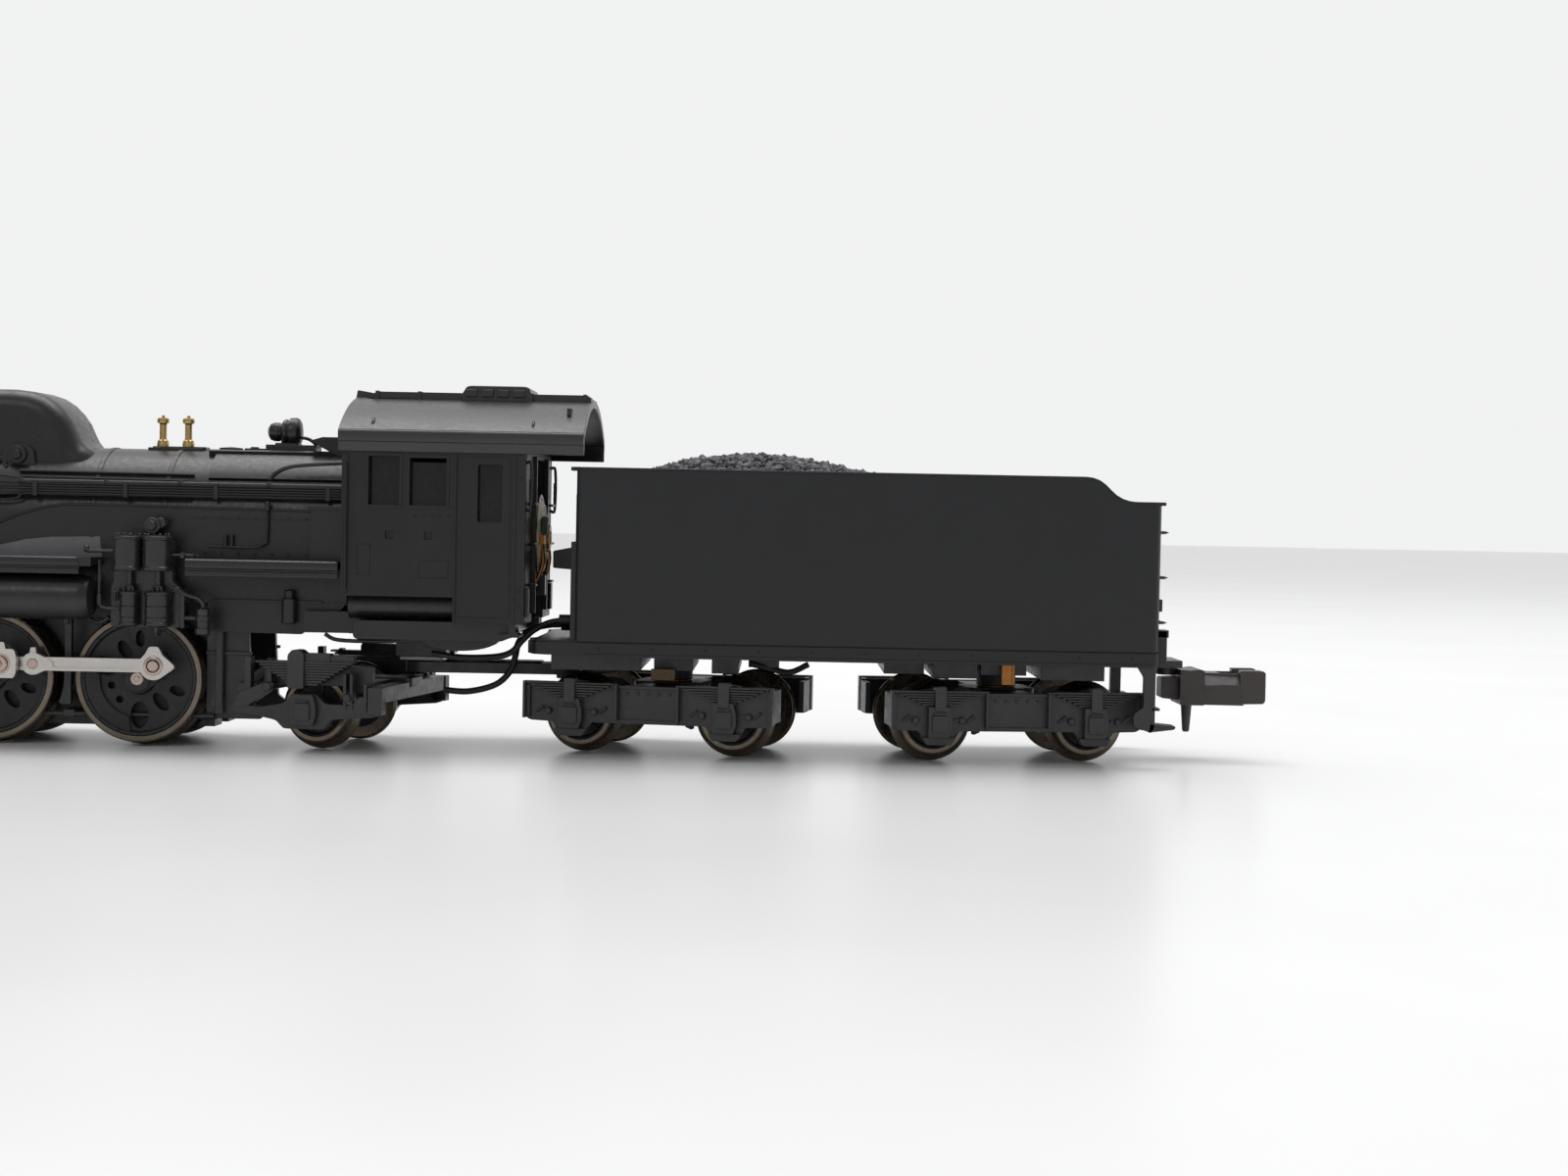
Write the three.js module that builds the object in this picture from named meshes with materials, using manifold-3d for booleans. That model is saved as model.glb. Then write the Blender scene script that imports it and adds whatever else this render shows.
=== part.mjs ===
// A small-scale 2-8-2 steam locomotive with its tender, as an assembly of separate pieces.
// Millimetres. +X points from the chimney to the tender's rear coupler, +Z up, and -Y is the
// locomotive's left side. The wheel flanges stand on z = 0 and the whole length is centred on x = 0.
import * as THREE from 'three';
import { mergeVertices } from 'three/addons/utils/BufferGeometryUtils.js';
import Module from 'manifold-3d';

const wasm = await Module();
wasm.setup();

// ---------- driving dimensions ----------
const DRIVER = { tread: 4.77, flange: 5.07, x: [-44.75, -33.65, -22.55, -11.45], throwRadius: 1.79 };
const CARRYING = { tread: 2.51, flange: 3.07 };
const WHEEL_BACK = 3.7; // half the back-to-back distance
const PIN_ANGLE = THREE.MathUtils.degToRad(35.5); // left crankpins at rest, above +X
const GUIDING_AXLE_X = -62;
const TRAILING = { axleX: 2.75, pivotX: -1.45, yaw: THREE.MathUtils.degToRad(-9.5) };
const TENDER_TRUCKS = [
  { name: 'tender_truck_front', x: 28.05, yaw: THREE.MathUtils.degToRad(-11), axles: [1, 2] },
  { name: 'tender_truck_rear', x: 52.9, yaw: THREE.MathUtils.degToRad(6.8), axles: [3, 4] },
];
const TRUCK_HALF_BASE = 5.85;
const BOILER = { z: 16.2, radius: 6.1, wall: 0.8, frontX: -62.5, rearX: 4.0 };
const CAB = {
  frontX: 4.09, rearX: 17.49, halfWidth: 9.2, wall: 0.7, frontZ: 11.66, rearZ: 9.76, wallTopZ: 22.6,
};
const ROOF = { frontX: 3.81, rearX: 21.72, halfWidth: 9.6, gutterZ: 23.7, apexZ: 26.6, eaveZ: 22.65 };
const TENDER = {
  frontX: 20.9, rearX: 64.09, halfWidth: 9.4, bottomZ: 8.64, topZ: 21.36, rearZ: 19.6, wall: 0.8,
};
const CHASSIS = { inner: 1.3, outer: 3.2, bottomZ: 2.2 };
const GEAR_MODULE = 0.2;
const GEARS = { axleTeeth: 14, idlerTeeth: 19, wormTeeth: 22, wormWheelZ: 12.4, shaftZ: 16.1 };
const ROD = { sideInner: 6.75, sideOuter: 7.4, mainInner: 7.5, mainOuter: 8.1 };
const CROSSHEAD_PIN_X = -45.9;
const VALVE_CHEST_Z = 9.2;
const GAP = 0.1; // running clearance between neighbours

// ---------- colours ----------
const paint = (color, roughness = 0.55, metalness = 0.1) => (
  new THREE.MeshStandardMaterial({ color, roughness, metalness })
);
const BLACK = paint(0x2e2e30);
const FRAME_BLACK = paint(0x38393a, 0.7);
const NICKEL = paint(0xaea8a2, 0.3, 0.9);
const WHEEL = paint(0x3a3b3c, 0.6, 0.3);
const BRASS = paint(0xc1a786, 0.3, 0.9);
const COAL = paint(0x656568, 0.9, 0);
const CREAM = paint(0xe8e0cc, 0.5, 0);
const RUBBER = paint(0x1a1a1b, 0.8, 0);

// ---------- geometry helpers ----------
function merged(geometry) {
  const bare = geometry.clone();
  bare.deleteAttribute('normal');
  bare.deleteAttribute('uv');
  return mergeVertices(bare, 1e-4);
}

function triangles(geometry) {
  const index = geometry.getIndex().array;
  const kept = [];
  for (let i = 0; i < index.length; i += 3) {
    const [a, b, c] = index.slice(i, i + 3);
    if (a !== b && b !== c && c !== a) kept.push(a, b, c);
  }
  return kept;
}

function signedVolume(geometry) {
  const index = triangles(geometry);
  const at = (i) => new THREE.Vector3().fromBufferAttribute(geometry.getAttribute('position'), i);
  let six = 0;
  for (let i = 0; i < index.length; i += 3) {
    six += at(index[i]).dot(at(index[i + 1]).cross(at(index[i + 2])));
  }
  return six / 6;
}

// A geometry with shared corners and outward faces, whichever way its outline was drawn.
function closed(geometry) {
  const result = merged(geometry);
  const kept = triangles(result);
  if (signedVolume(result) < 0) {
    for (let i = 0; i < kept.length; i += 3) [kept[i], kept[i + 1]] = [kept[i + 1], kept[i]];
  }
  result.setIndex(kept);
  return result;
}

function toSolid(geometry) {
  const body = closed(geometry);
  const vertProperties = new Float32Array(body.getAttribute('position').array);
  const triVerts = new Uint32Array(body.getIndex().array);
  return new wasm.Manifold(new wasm.Mesh({ numProp: 3, vertProperties, triVerts }));
}

function fromSolid(solid) {
  const mesh = solid.getMesh();
  const geometry = new THREE.BufferGeometry();
  geometry.setAttribute('position', new THREE.BufferAttribute(mesh.vertProperties, 3));
  geometry.setIndex(new THREE.BufferAttribute(mesh.triVerts, 1));
  return geometry;
}

const join = (first, ...rest) => fromSolid(rest.reduce((sum, g) => sum.add(toSolid(g)), toSolid(first)));
const cut = (first, ...rest) => fromSolid(rest.reduce((sum, g) => sum.subtract(toSolid(g)), toSolid(first)));

const box = (x0, x1, y0, y1, z0, z1) => (
  new THREE.BoxGeometry(x1 - x0, y1 - y0, z1 - z0).translate((x0 + x1) / 2, (y0 + y1) / 2, (z0 + z1) / 2)
);

function shapeOf(points, holes = []) {
  const shape = new THREE.Shape(points.map(([a, b]) => new THREE.Vector2(a, b)));
  shape.holes = holes.map((h) => new THREE.Path(h.map(([a, b]) => new THREE.Vector2(a, b))));
  return shape;
}

// An outline in the XZ plane, extruded from y0 to y1.
function slabY(points, y0, y1, holes) {
  const geometry = new THREE.ExtrudeGeometry(shapeOf(points, holes), { depth: y1 - y0, bevelEnabled: false });
  return geometry.rotateX(Math.PI / 2).translate(0, y1, 0);
}

// An outline in the YZ plane, extruded from x0 to x1.
function slabX(points, x0, x1, holes) {
  const geometry = new THREE.ExtrudeGeometry(shapeOf(points, holes), { depth: x1 - x0, bevelEnabled: false });
  const turn = new THREE.Matrix4().makeBasis(
    new THREE.Vector3(0, 1, 0), new THREE.Vector3(0, 0, 1), new THREE.Vector3(1, 0, 0));
  return geometry.applyMatrix4(turn).translate(x0, 0, 0);
}

// An outline in the XY plane, extruded from z0 to z1.
function slabZ(points, z0, z1, holes) {
  const geometry = new THREE.ExtrudeGeometry(shapeOf(points, holes), { depth: z1 - z0, bevelEnabled: false });
  return geometry.translate(0, 0, z0);
}

function arc(cx, cy, radius, from, to, steps) {
  const points = [];
  for (let i = 0; i <= steps; i += 1) {
    const a = THREE.MathUtils.degToRad(from + ((to - from) * i) / steps);
    points.push([cx + radius * Math.cos(a), cy + radius * Math.sin(a)]);
  }
  return points;
}

const circle = (cx, cy, radius, sides) => arc(cx, cy, radius, 0, 360 - 360 / sides, sides - 1);
const lathe = (profile, sides) => (
  new THREE.LatheGeometry(profile.map(([r, h]) => new THREE.Vector2(r, h)), sides)
);
const latheX = (profile, sides, y = 0, z = 0) => lathe(profile, sides).rotateZ(-Math.PI / 2).translate(0, y, z);
const latheY = (profile, sides, x = 0, z = 0) => lathe(profile, sides).translate(x, 0, z);
const latheZ = (profile, sides, x = 0, y = 0) => lathe(profile, sides).rotateX(Math.PI / 2).translate(x, y, 0);
const rodProfile = (radius, from, to) => [[0, from], [radius, from], [radius, to], [0, to]];

const model = new THREE.Group();

function place(parent, name, geometry, material) {
  const mesh = new THREE.Mesh(closed(geometry), material);
  mesh.name = name;
  parent.add(mesh);
  return mesh;
}

// Left is -1 and right is +1: the same geometry, mirrored in Y.
const SIDES = [['left', -1], ['right', 1]];
const onSide = (side, geometry) => geometry.clone().applyMatrix4(new THREE.Matrix4().makeScale(1, side, 1));

// ---------- wheels ----------
function wheelsetProfile({ tread, flange }, axleRadius, faceY, endRadius, endY) {
  const half = [
    [axleRadius, WHEEL_BACK], [flange, WHEEL_BACK + 0.25], [tread, WHEEL_BACK + 0.6],
    [tread, faceY], [endRadius, faceY], [endRadius, endY], [0, endY],
  ];
  return [...half.map(([r, y]) => [r, -y]).reverse(), ...half];
}

function gearOutline(teeth, phase) {
  const pitch = (teeth * GEAR_MODULE) / 2;
  const points = [];
  const step = (2 * Math.PI) / teeth;
  for (let i = 0; i < teeth; i += 1) {
    const middle = phase + i * step;
    for (const [share, height] of [[-0.3, -0.24], [-0.1, 0.08], [0.1, 0.08], [0.3, -0.24]]) {
      const a = middle + share * step;
      points.push([(pitch + height) * Math.cos(a), (pitch + height) * Math.sin(a)]);
    }
  }
  return points;
}

function crankpin(side, outer) {
  const angle = side < 0 ? PIN_ANGLE : PIN_ANGLE - Math.PI / 2;
  const x = DRIVER.throwRadius * Math.cos(angle);
  const z = DRIVER.throwRadius * Math.sin(angle);
  const ends = side < 0 ? [-outer, -5] : [5, outer];
  return latheY(rodProfile(0.42, ...ends), 8, x, z);
}

function driverWheelset(index) {
  const outer = index === 3 ? 8.35 : 7.6;
  const turned = latheY(wheelsetProfile(DRIVER, 0.75, 5.95, 0.9, 6.3), 20);
  const pieces = [crankpin(-1, outer), crankpin(1, outer)];
  if (index === 4) pieces.push(slabY(gearOutline(GEARS.axleTeeth, GEAR_PHASE.axle), -0.9, 0.9));
  return join(turned, ...pieces);
}

const JOURNAL_END = 7.3; // axle ends that turn in outside frames
const carryingWheelset = (endY = JOURNAL_END) => latheY(wheelsetProfile(CARRYING, 0.4, 5.45, 0.35, endY), 12);

// ---------- gear train: worm, worm wheel, idler, and the gear on the fourth driver axle ----------
const pitchRadius = (teeth) => (teeth * GEAR_MODULE) / 2;
const AXLE_Z = DRIVER.flange;
const GEAR_X = DRIVER.x[3];

// The idler sits where its pitch circle touches both of its neighbours'.
function idlerCentre() {
  const low = pitchRadius(GEARS.axleTeeth) + pitchRadius(GEARS.idlerTeeth);
  const high = pitchRadius(GEARS.wormTeeth) + pitchRadius(GEARS.idlerTeeth);
  const rise = GEARS.wormWheelZ - AXLE_Z;
  const along = (low ** 2 - high ** 2 + rise ** 2) / (2 * rise);
  return [GEAR_X + Math.sqrt(low ** 2 - along ** 2), AXLE_Z + along];
}
const IDLER = idlerCentre();

// Each gear's phase puts a tooth of one opposite a gap of the next on their line of centres.
function meshPhases() {
  const down = Math.atan2(AXLE_Z - IDLER[1], GEAR_X - IDLER[0]);
  const up = Math.atan2(GEARS.wormWheelZ - IDLER[1], GEAR_X - IDLER[0]);
  const idlerStep = (2 * Math.PI) / GEARS.idlerTeeth;
  const idler = down;
  const atUp = ((up - idler) / idlerStep) % 1;
  const wormStep = (2 * Math.PI) / GEARS.wormTeeth;
  const axle = down + Math.PI + Math.PI / GEARS.axleTeeth;
  const worm = up + Math.PI + wormStep / 2 + atUp * wormStep;
  return { axle, idler, worm };
}
const GEAR_PHASE = meshPhases();

function spurGear(teeth, phase, pinLength) {
  const wheel = slabY(gearOutline(teeth, phase), -0.9, 0.9);
  return join(wheel, latheY(rodProfile(0.4, -pinLength, pinLength), 10));
}

// The turn that puts a crest of the worm into a gap at the top of the worm wheel.
function wormPhase(pitch) {
  const step = (2 * Math.PI) / GEARS.wormTeeth;
  const top = Math.PI / 2;
  const gapNumber = Math.round((top - GEAR_PHASE.worm) / step - 0.5);
  const gapAngle = GEAR_PHASE.worm + (gapNumber + 0.5) * step;
  const gapX = -pitchRadius(GEARS.wormTeeth) * (gapAngle - top);
  return -top - (2 * Math.PI * gapX) / pitch;
}

// An off-centre round bar, twisted along its length, is a single-start worm.
function wormThread() {
  const length = 2.4;
  const pitch = Math.PI * GEAR_MODULE;
  const steps = Math.round((length / pitch) * 6);
  const outline = circle(0.2, 0, 1.35, 10);
  const bar = new THREE.ExtrudeGeometry(shapeOf(outline), { depth: length, steps, bevelEnabled: false });
  const position = bar.getAttribute('position');
  const start = wormPhase(pitch);
  for (let i = 0; i < position.count; i += 1) {
    const point = new THREE.Vector3().fromBufferAttribute(position, i);
    const turn = start + (2 * Math.PI * (point.z - length / 2)) / pitch;
    point.applyAxisAngle(new THREE.Vector3(0, 0, 1), turn);
    position.setXYZ(i, point.x, point.y, point.z);
  }
  const turnToX = new THREE.Matrix4().makeBasis(
    new THREE.Vector3(0, 1, 0), new THREE.Vector3(0, 0, 1), new THREE.Vector3(1, 0, 0));
  return bar.applyMatrix4(turnToX).translate(GEAR_X - length / 2, 0, 0);
}

function motorShaft() {
  const shaft = [
    [0, -14.5], [0.5, -14.5], [0.5, -6.2], [2.9, -6], [2.9, -1.6], [0.5, -1.4], [0.5, 3.9], [0, 3.9],
  ];
  return join(latheX(shaft, 12), wormThread()).translate(0, 0, GEARS.shaftZ);
}

// ---------- chassis ----------
function axleSlot(x) {
  return [[x - 0.85, CHASSIS.bottomZ], ...arc(x, AXLE_Z, 0.85, 180, 0, 6), [x + 0.85, CHASSIS.bottomZ]];
}

function chassisHalf(side) {
  const outline = [
    [-66, 6.6], [-48.5, 6.6], [-48.5, CHASSIS.bottomZ],
    ...DRIVER.x.flatMap(axleSlot),
    [-6.2, CHASSIS.bottomZ], [-4.6, 6.9], [15.6, 6.9], [15.6, 12.6], [-18, 12.6], [-18, 19.5], [-60, 19.5],
    [-60, 10.6], [-66, 10.6],
  ];
  const slab = slabY(outline, CHASSIS.inner, CHASSIS.outer, [circle(IDLER[0], IDLER[1], 0.5, 10)]);
  const wormPinHole = latheY(rodProfile(0.5, 1, 2.7), 10, GEAR_X, GEARS.wormWheelZ);
  const flywheelRoom = box(-14.6, -8.4, 1, 4, 12.6, 14);
  return onSide(side, cut(slab, wormPinHole, flywheelRoom));
}

function keeperPlate() {
  return slabY([[-48.5, 1.35], [-48.5, 2.2], [-7, 2.2], [-7.8, 1.35]], -3.2, 3.2);
}

// ---------- boiler ----------
function boilerSection(radius, halfOpening) {
  const outer = arc(0, BOILER.z, radius, -90 + halfOpening, 270 - halfOpening, 20);
  const inner = arc(0, BOILER.z, radius - BOILER.wall, 270 - halfOpening, -90 + halfOpening, 14);
  return [...outer, ...inner];
}

function boilerShell() {
  const { radius, wall, frontX, rearX, z } = BOILER;
  const barrel = slabX(boilerSection(radius, 42), frontX, rearX);
  const sides = SIDES.map(([, side]) => onSide(side, box(-14.6, rearX, radius - wall, radius, 10.8, z)));
  const skirt = slabY([[-5.6, 8.6], [-5.6, 11], [1.9, 11], [1.9, 9.6], [0.6, 8.6]], radius - wall, radius);
  const skirts = SIDES.map(([, side]) => onSide(side, skirt));
  const bands = [-50, -38, -26.5].map((x) => slabX(boilerSection(radius + 0.12, 44), x - 0.3, x + 0.3));
  const firebox = slabX(boilerSection(radius + 0.18, 60), -9.2, rearX);
  return join(barrel, ...sides, ...skirts, ...bands, firebox);
}

function smokeboxDoor() {
  const x = BOILER.frontX;
  const face = [
    [0, x - 1.6], [1.6, x - 1.5], [3.6, x - 1.0], [4.6, x - 0.6], [5.1, x - 0.55], [5.2, x], [0, x],
  ];
  return latheX(face, 18, 0, BOILER.z);
}

function domeCover() {
  const side = [
    [-39.5, 21.4], [-39.5, 22.6], [-38.8, 24.8], [-37.4, 26.1], [-35.4, 26.6], [-21.5, 26.6], [-19.5, 26.2],
    [-18.5, 25.6], [-17.8, 24.85], [-17.2, 23.7], [-16.6, 22.5], [-16.2, 21.4],
  ];
  const block = slabY(side, -3.3, 3.3);
  const bore = latheX(rodProfile(BOILER.radius + 0.24, -42, -12), 24, 0, BOILER.z);
  return cut(block, bore);
}

function chimney() {
  const profile = [
    [0, 22.5], [1.9, 22.5], [1.5, 23.3], [1.4, 25.2], [1.75, 25.9], [1.75, 26.3], [1.2, 26.3], [1.1, 24], [0, 24],
  ];
  return latheZ(profile, 14, -56.5, 0);
}

function feedwaterHeater() {
  const body = latheY([[0, -5.4], [1.7, -5.2], [2, -4.9], [2, 4.9], [1.7, 5.2], [0, 5.4]], 16, -61.2, 24.4);
  const saddle = box(-62.4, -60.0, -2.4, 2.4, 22.35, 23.2);
  return join(body, saddle);
}

function safetyValves() {
  const base = box(-12.45, -8.15, -1, 1, 22.52, 22.9);
  const valve = [
    [0, 22.7], [0.42, 22.7], [0.3, 23.1], [0.3, 24.3], [0.42, 24.5], [0.42, 24.75], [0.2, 24.95], [0, 24.95],
  ];
  return join(base, latheZ(valve, 10, -11.25, 0), latheZ(valve, 10, -9.35, 0));
}

function turboGenerator() {
  const drum = [[0, -2.9], [0.55, -2.9], [0.6, -2.2], [0.87, -2.1], [0.87, -1.1], [0.5, -0.8], [0, -0.8]];
  const base = box(-3.4, 0.4, -1.2, 1.2, 22.52, 22.85);
  const foot = box(-2.1, -1.3, -0.35, 0.35, 22.6, 23.4);
  return join(latheX(drum, 16, 0, 23.8), base, foot);
}

function headlamp() {
  const body = latheX([[0, -65.6], [1, -65.6], [1.1, -65.4], [1.1, -64.4], [0.7, -63.8], [0, -63.8]], 14, 0, 23.3);
  return join(body, box(-64.8, -62.55, -0.4, 0.4, 21.5, 22.6));
}

// ---------- running boards, deflectors and what hangs from them ----------
function runningBoard(side) {
  const plate = (x0, x1, y0) => box(x0, x1, y0, 9.3, 13, 14.1);
  if (side > 0) return plate(-67.8, 3.9, 6.3);
  // The left board is cut away around the pump, where only a narrow strip joins its two lengths.
  return onSide(side, join(plate(-67.8, -14.1, 6.3), plate(-7.25, 3.9, 6.3), box(-15, -6, 6.3, 6.9, 13, 14.1)));
}

function smokeDeflector(side) {
  const outline = [[-66.6, 14.2], [-66.6, 21.4], [-65.8, 22.2], [-55.6, 22.2], [-55, 21.6], [-55, 14.2]];
  return onSide(side, slabY(outline, 8.7, 9.1));
}

function airTank(side) {
  const tank = [[0, -41], [1.4, -40.8], [1.65, -40.4], [1.65, -14.8], [1.4, -14.3], [0, -14.1]];
  return onSide(side, latheX(tank, 14, 7.7, 11.1));
}

function feedwaterPump() {
  const column = (x, y, radius, z0, z1, sides) => latheZ(rodProfile(radius, z0, z1), sides, x, y);
  return join(
    box(-12.9, -7.7, -8.1, -7.0, 9.3, 15.5),
    column(-11.65, -8.4, 1.07, 13.2, 15.7, 14), column(-9.5, -8.4, 1.07, 13.2, 15.7, 14),
    column(-11.5, -8.5, 0.65, 9.1, 11.7, 12), column(-9.4, -8.5, 0.95, 9.1, 11.7, 14),
    column(-6.15, -8.2, 0.55, 8.5, 10.5, 10),
    box(-8, -6, -8, -7.6, 11.2, 11.6), box(-6.35, -5.95, -8, -7.6, 10, 11.6),
  );
}

function airCompressor() {
  const column = (x, radius, z0, z1) => latheZ(rodProfile(radius, z0, z1), 14, x, 7.75);
  const x = -32.8;
  const cylinders = [column(x, 1.3, 16.2, 19), column(x, 1.05, 14.9, 16.3)];
  return join(...cylinders, box(x - 1.2, x + 1.2, 6.9, 8.6, 14.15, 15), box(x - 1.2, x + 1.2, 6.5, 7, 15, 18));
}

function pipeBundle() {
  const ribs = slabX([
    [-6.15, 18.6], [-6.45, 18.68], [-6.45, 18.86], [-6.3, 18.93], [-6.45, 19], [-6.45, 19.18], [-6.3, 19.25],
    [-6.45, 19.32], [-6.45, 19.5], [-6.15, 19.58],
  ], -60, 2.9);
  const clamps = [-60, -47, -34.5, -21.9, -12.8, -4.3, 2.5].map((x) => box(x, x + 0.35, -6.62, -6.2, 18.5, 19.7));
  return join(ribs, ...clamps);
}

// ---------- cylinders, slide bars and pilot ----------
function cylinderBlock(side) {
  const axisY = 7.5;
  const bore = [[0, -58.5], [1.5, -58.5], [1.9, -58.1], [1.9, -51.1], [1.5, -50.7], [0, -50.7]];
  const valve = [[0, -59.3], [1.1, -59.1], [1.3, -58.6], [1.3, -50.6], [1.1, -50.1], [0, -49.9]];
  const barrel = latheX(bore, 14, axisY, AXLE_Z);
  const chest = latheX(valve, 12, axisY, VALVE_CHEST_Z);
  const web = box(-58, -51.2, 6.1, 9, 5, 9.4);
  const saddle = box(-58, -51.2, CHASSIS.outer + GAP, 7, 7.4, 10);
  const bars = [3.8, 5.99].map((z) => box(-51.3, -43.8, 8.3, 8.95, z, z + 0.35));
  const hanger = box(-44, -43.4, 8.3, 8.95, 3.8, 12.9);
  const gland = latheX(rodProfile(0.55, -55, -49), 8, 8.6, AXLE_Z);
  return onSide(side, cut(join(barrel, chest, web, saddle, ...bars, hanger), gland));
}

function crosshead(side) {
  const x = CROSSHEAD_PIN_X;
  const block = box(x - 1.2, x + 1.2, 8.35, 8.9, 4.25, 5.89);
  const piston = latheX(rodProfile(0.28, x - 5.5, x - 1), 8, 8.6, AXLE_Z);
  const pin = latheY(rodProfile(0.35, 8.25, 9.1), 10, x, AXLE_Z);
  return onSide(side, join(block, piston, pin));
}

function pilotBeam() {
  const beam = box(-69, -67.9, -9, 9, 8.2, 12.4);
  const deck = box(-67.9, -64.3, -6.2, 6.2, 12.35, 13.1);
  const post = box(-68.2, -66.1, -3, 3, 8.6, 12.5);
  const cowcatcher = [[-68.6, 2], [-68.6, 8.4], [-67.9, 8.4], [-67.9, 2.6]];
  const plates = SIDES.map(([, side]) => onSide(side, slabY(cowcatcher, 3.6, 8.6)));
  return join(beam, deck, post, ...plates);
}

// ---------- rods ----------
function pinCentre(index, side) {
  const angle = side < 0 ? PIN_ANGLE : PIN_ANGLE - Math.PI / 2;
  return [DRIVER.x[index] + DRIVER.throwRadius * Math.cos(angle), AXLE_Z + DRIVER.throwRadius * Math.sin(angle)];
}

function sideRod(side) {
  const { sideInner: y0, sideOuter: y1 } = ROD;
  const pins = DRIVER.x.map((_, i) => pinCentre(i, side));
  const [first, last] = [pins[0], pins[3]];
  const bar = box(first[0], last[0], y0 + 0.08, y1 - 0.08, first[1] - 0.45, first[1] + 0.45);
  const eyes = pins.map(([x, z]) => latheY(rodProfile(1.05, y0, y1), 12, x, z));
  const knuckle = latheY(rodProfile(0.85, y0, y1), 10, last[0] - 8.9, last[1]);
  const cups = pins.map(([x, z]) => box(x - 0.35, x + 0.35, y0 + 0.1, y1 - 0.1, z + 0.9, z + 1.45));
  const holes = pins.map(([x, z]) => latheY(rodProfile(0.52, y0 - 1, y1 + 1), 8, x, z));
  return onSide(side, cut(join(bar, ...eyes, knuckle, ...cups), ...holes));
}

// The main rod lies on the third crankpin; its front end is free beside the crosshead.
function mainRod(side) {
  const { mainInner: y0, mainOuter: y1 } = ROD;
  const [x, z] = pinCentre(2, side);
  const travel = side < 0 ? 0 : DRIVER.throwRadius * (Math.cos(PIN_ANGLE - Math.PI / 2) - Math.cos(PIN_ANGLE));
  const front = CROSSHEAD_PIN_X + travel;
  const taper = [[front, AXLE_Z - 0.4], [x, z - 0.55], [x, z + 0.55], [front, AXLE_Z + 0.4]];
  const bar = slabY(taper, y0 + 0.1, y1 - 0.1);
  const bigEnd = box(x - 1.1, x + 1.1, y0, y1, z - 1.05, z + 1.05);
  const smallEnd = latheY(rodProfile(0.75, y0, y1), 14, front, AXLE_Z);
  const hole = latheY(rodProfile(0.52, y0 - 1, y1 + 1), 8, x, z);
  return onSide(side, cut(join(bar, bigEnd, smallEnd), hole));
}

// ---------- trucks under the locomotive ----------
function guidingTruck() {
  const arm = box(-62, -52.2, -1, 1, 3.9, 4.7);
  const pivotPad = latheZ(rodProfile(1.3, 3.9, 4.7), 14, -53, 0);
  const saddle = box(-64.6, -59.4, -3, 3, 3.9, 4.7);
  const cheeks = SIDES.map(([, side]) => onSide(side, box(-63.4, -60.6, 2.2, 3.2, 2.2, 4.7)));
  const axleHole = latheY(rodProfile(0.5, -4, 4), 12, GUIDING_AXLE_X, CARRYING.flange);
  const pivotHole = latheZ(rodProfile(0.6, 3, 6), 10, -53, 0);
  return cut(join(arm, pivotPad, saddle, ...cheeks), axleHole, pivotHole);
}

// Drawn about its pivot, with the axle straight behind it.
function trailingTruck() {
  const axle = TRAILING.axleX - TRAILING.pivotX;
  const yoke = box(-1.2, axle + 5.9, -1.2, 1.2, 4.5, 5.4);
  const crossFront = box(-1.2, 0.4, -8.2, 8.2, 4.3, 5.2);
  const crossRear = box(axle + 4.8, axle + 5.9, -8.2, 8.2, 3.6, 5.2);
  const frameOutline = [
    [-1.2, 2.6], [axle - 2.2, 2.4], [axle - 1.2, 1.7], [axle + 1.2, 1.7], [axle + 2.2, 2.6], [axle + 5.9, 3.3],
    [axle + 5.9, 5.1], [axle + 4, 5.3], [axle + 3.4, 6.9], [axle - 3.4, 6.9], [axle - 4, 5.2], [-1.2, 5.2],
  ];
  const frames = SIDES.map(([, side]) => onSide(side, slabY(frameOutline, 7, 8.3)));
  const holes = latheY(rodProfile(0.5, -7.6, 7.6), 12, axle, CARRYING.flange);
  const axlePath = box(axle - 0.7, axle + 0.7, -6.9, 6.9, 0, 3.8);
  return cut(join(yoke, crossFront, crossRear, ...frames), holes, axlePath);
}

// ---------- tender ----------
function tenderTruckFrame() {
  const end = TRUCK_HALF_BASE + 3.55;
  const outline = [
    [-end, 3.1], [-TRUCK_HALF_BASE - 1.4, 2.5], [-TRUCK_HALF_BASE - 1, 1.55], [-TRUCK_HALF_BASE + 1, 1.55],
    [-TRUCK_HALF_BASE + 1.4, 2.5], [TRUCK_HALF_BASE - 1.4, 2.5], [TRUCK_HALF_BASE - 1, 1.55],
    [TRUCK_HALF_BASE + 1, 1.55], [TRUCK_HALF_BASE + 1.4, 2.5], [end, 3.1], [end, 5.3], [-end, 5.3],
  ];
  const frames = SIDES.map(([, side]) => onSide(side, slabY(outline, 7, 8.3)));
  const bolster = box(-1.6, 1.6, -7.2, 7.2, 4.2, 5.3);
  const bearing = (x) => latheY(rodProfile(0.5, -7.6, 7.6), 12, x, CARRYING.flange);
  const pivotHole = latheZ(rodProfile(0.85, 3, 6), 12);
  return cut(join(bolster, ...frames), bearing(-TRUCK_HALF_BASE), bearing(TRUCK_HALF_BASE), pivotHole);
}

function tenderOutline(inset) {
  const { frontX, rearX, bottomZ, topZ, rearZ } = TENDER;
  const rearLow = rearX - 2.4;
  return [
    [frontX + inset, bottomZ - inset], [rearX - inset, bottomZ - inset], [rearX - inset, rearZ - inset],
    [rearLow, rearZ - inset], [rearLow - 1.3, rearZ + 0.5 - inset], [rearLow - 2, rearZ + 1.3 - inset],
    [rearLow - 3.2, topZ - inset], [frontX + inset, topZ - inset],
  ];
}

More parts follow.
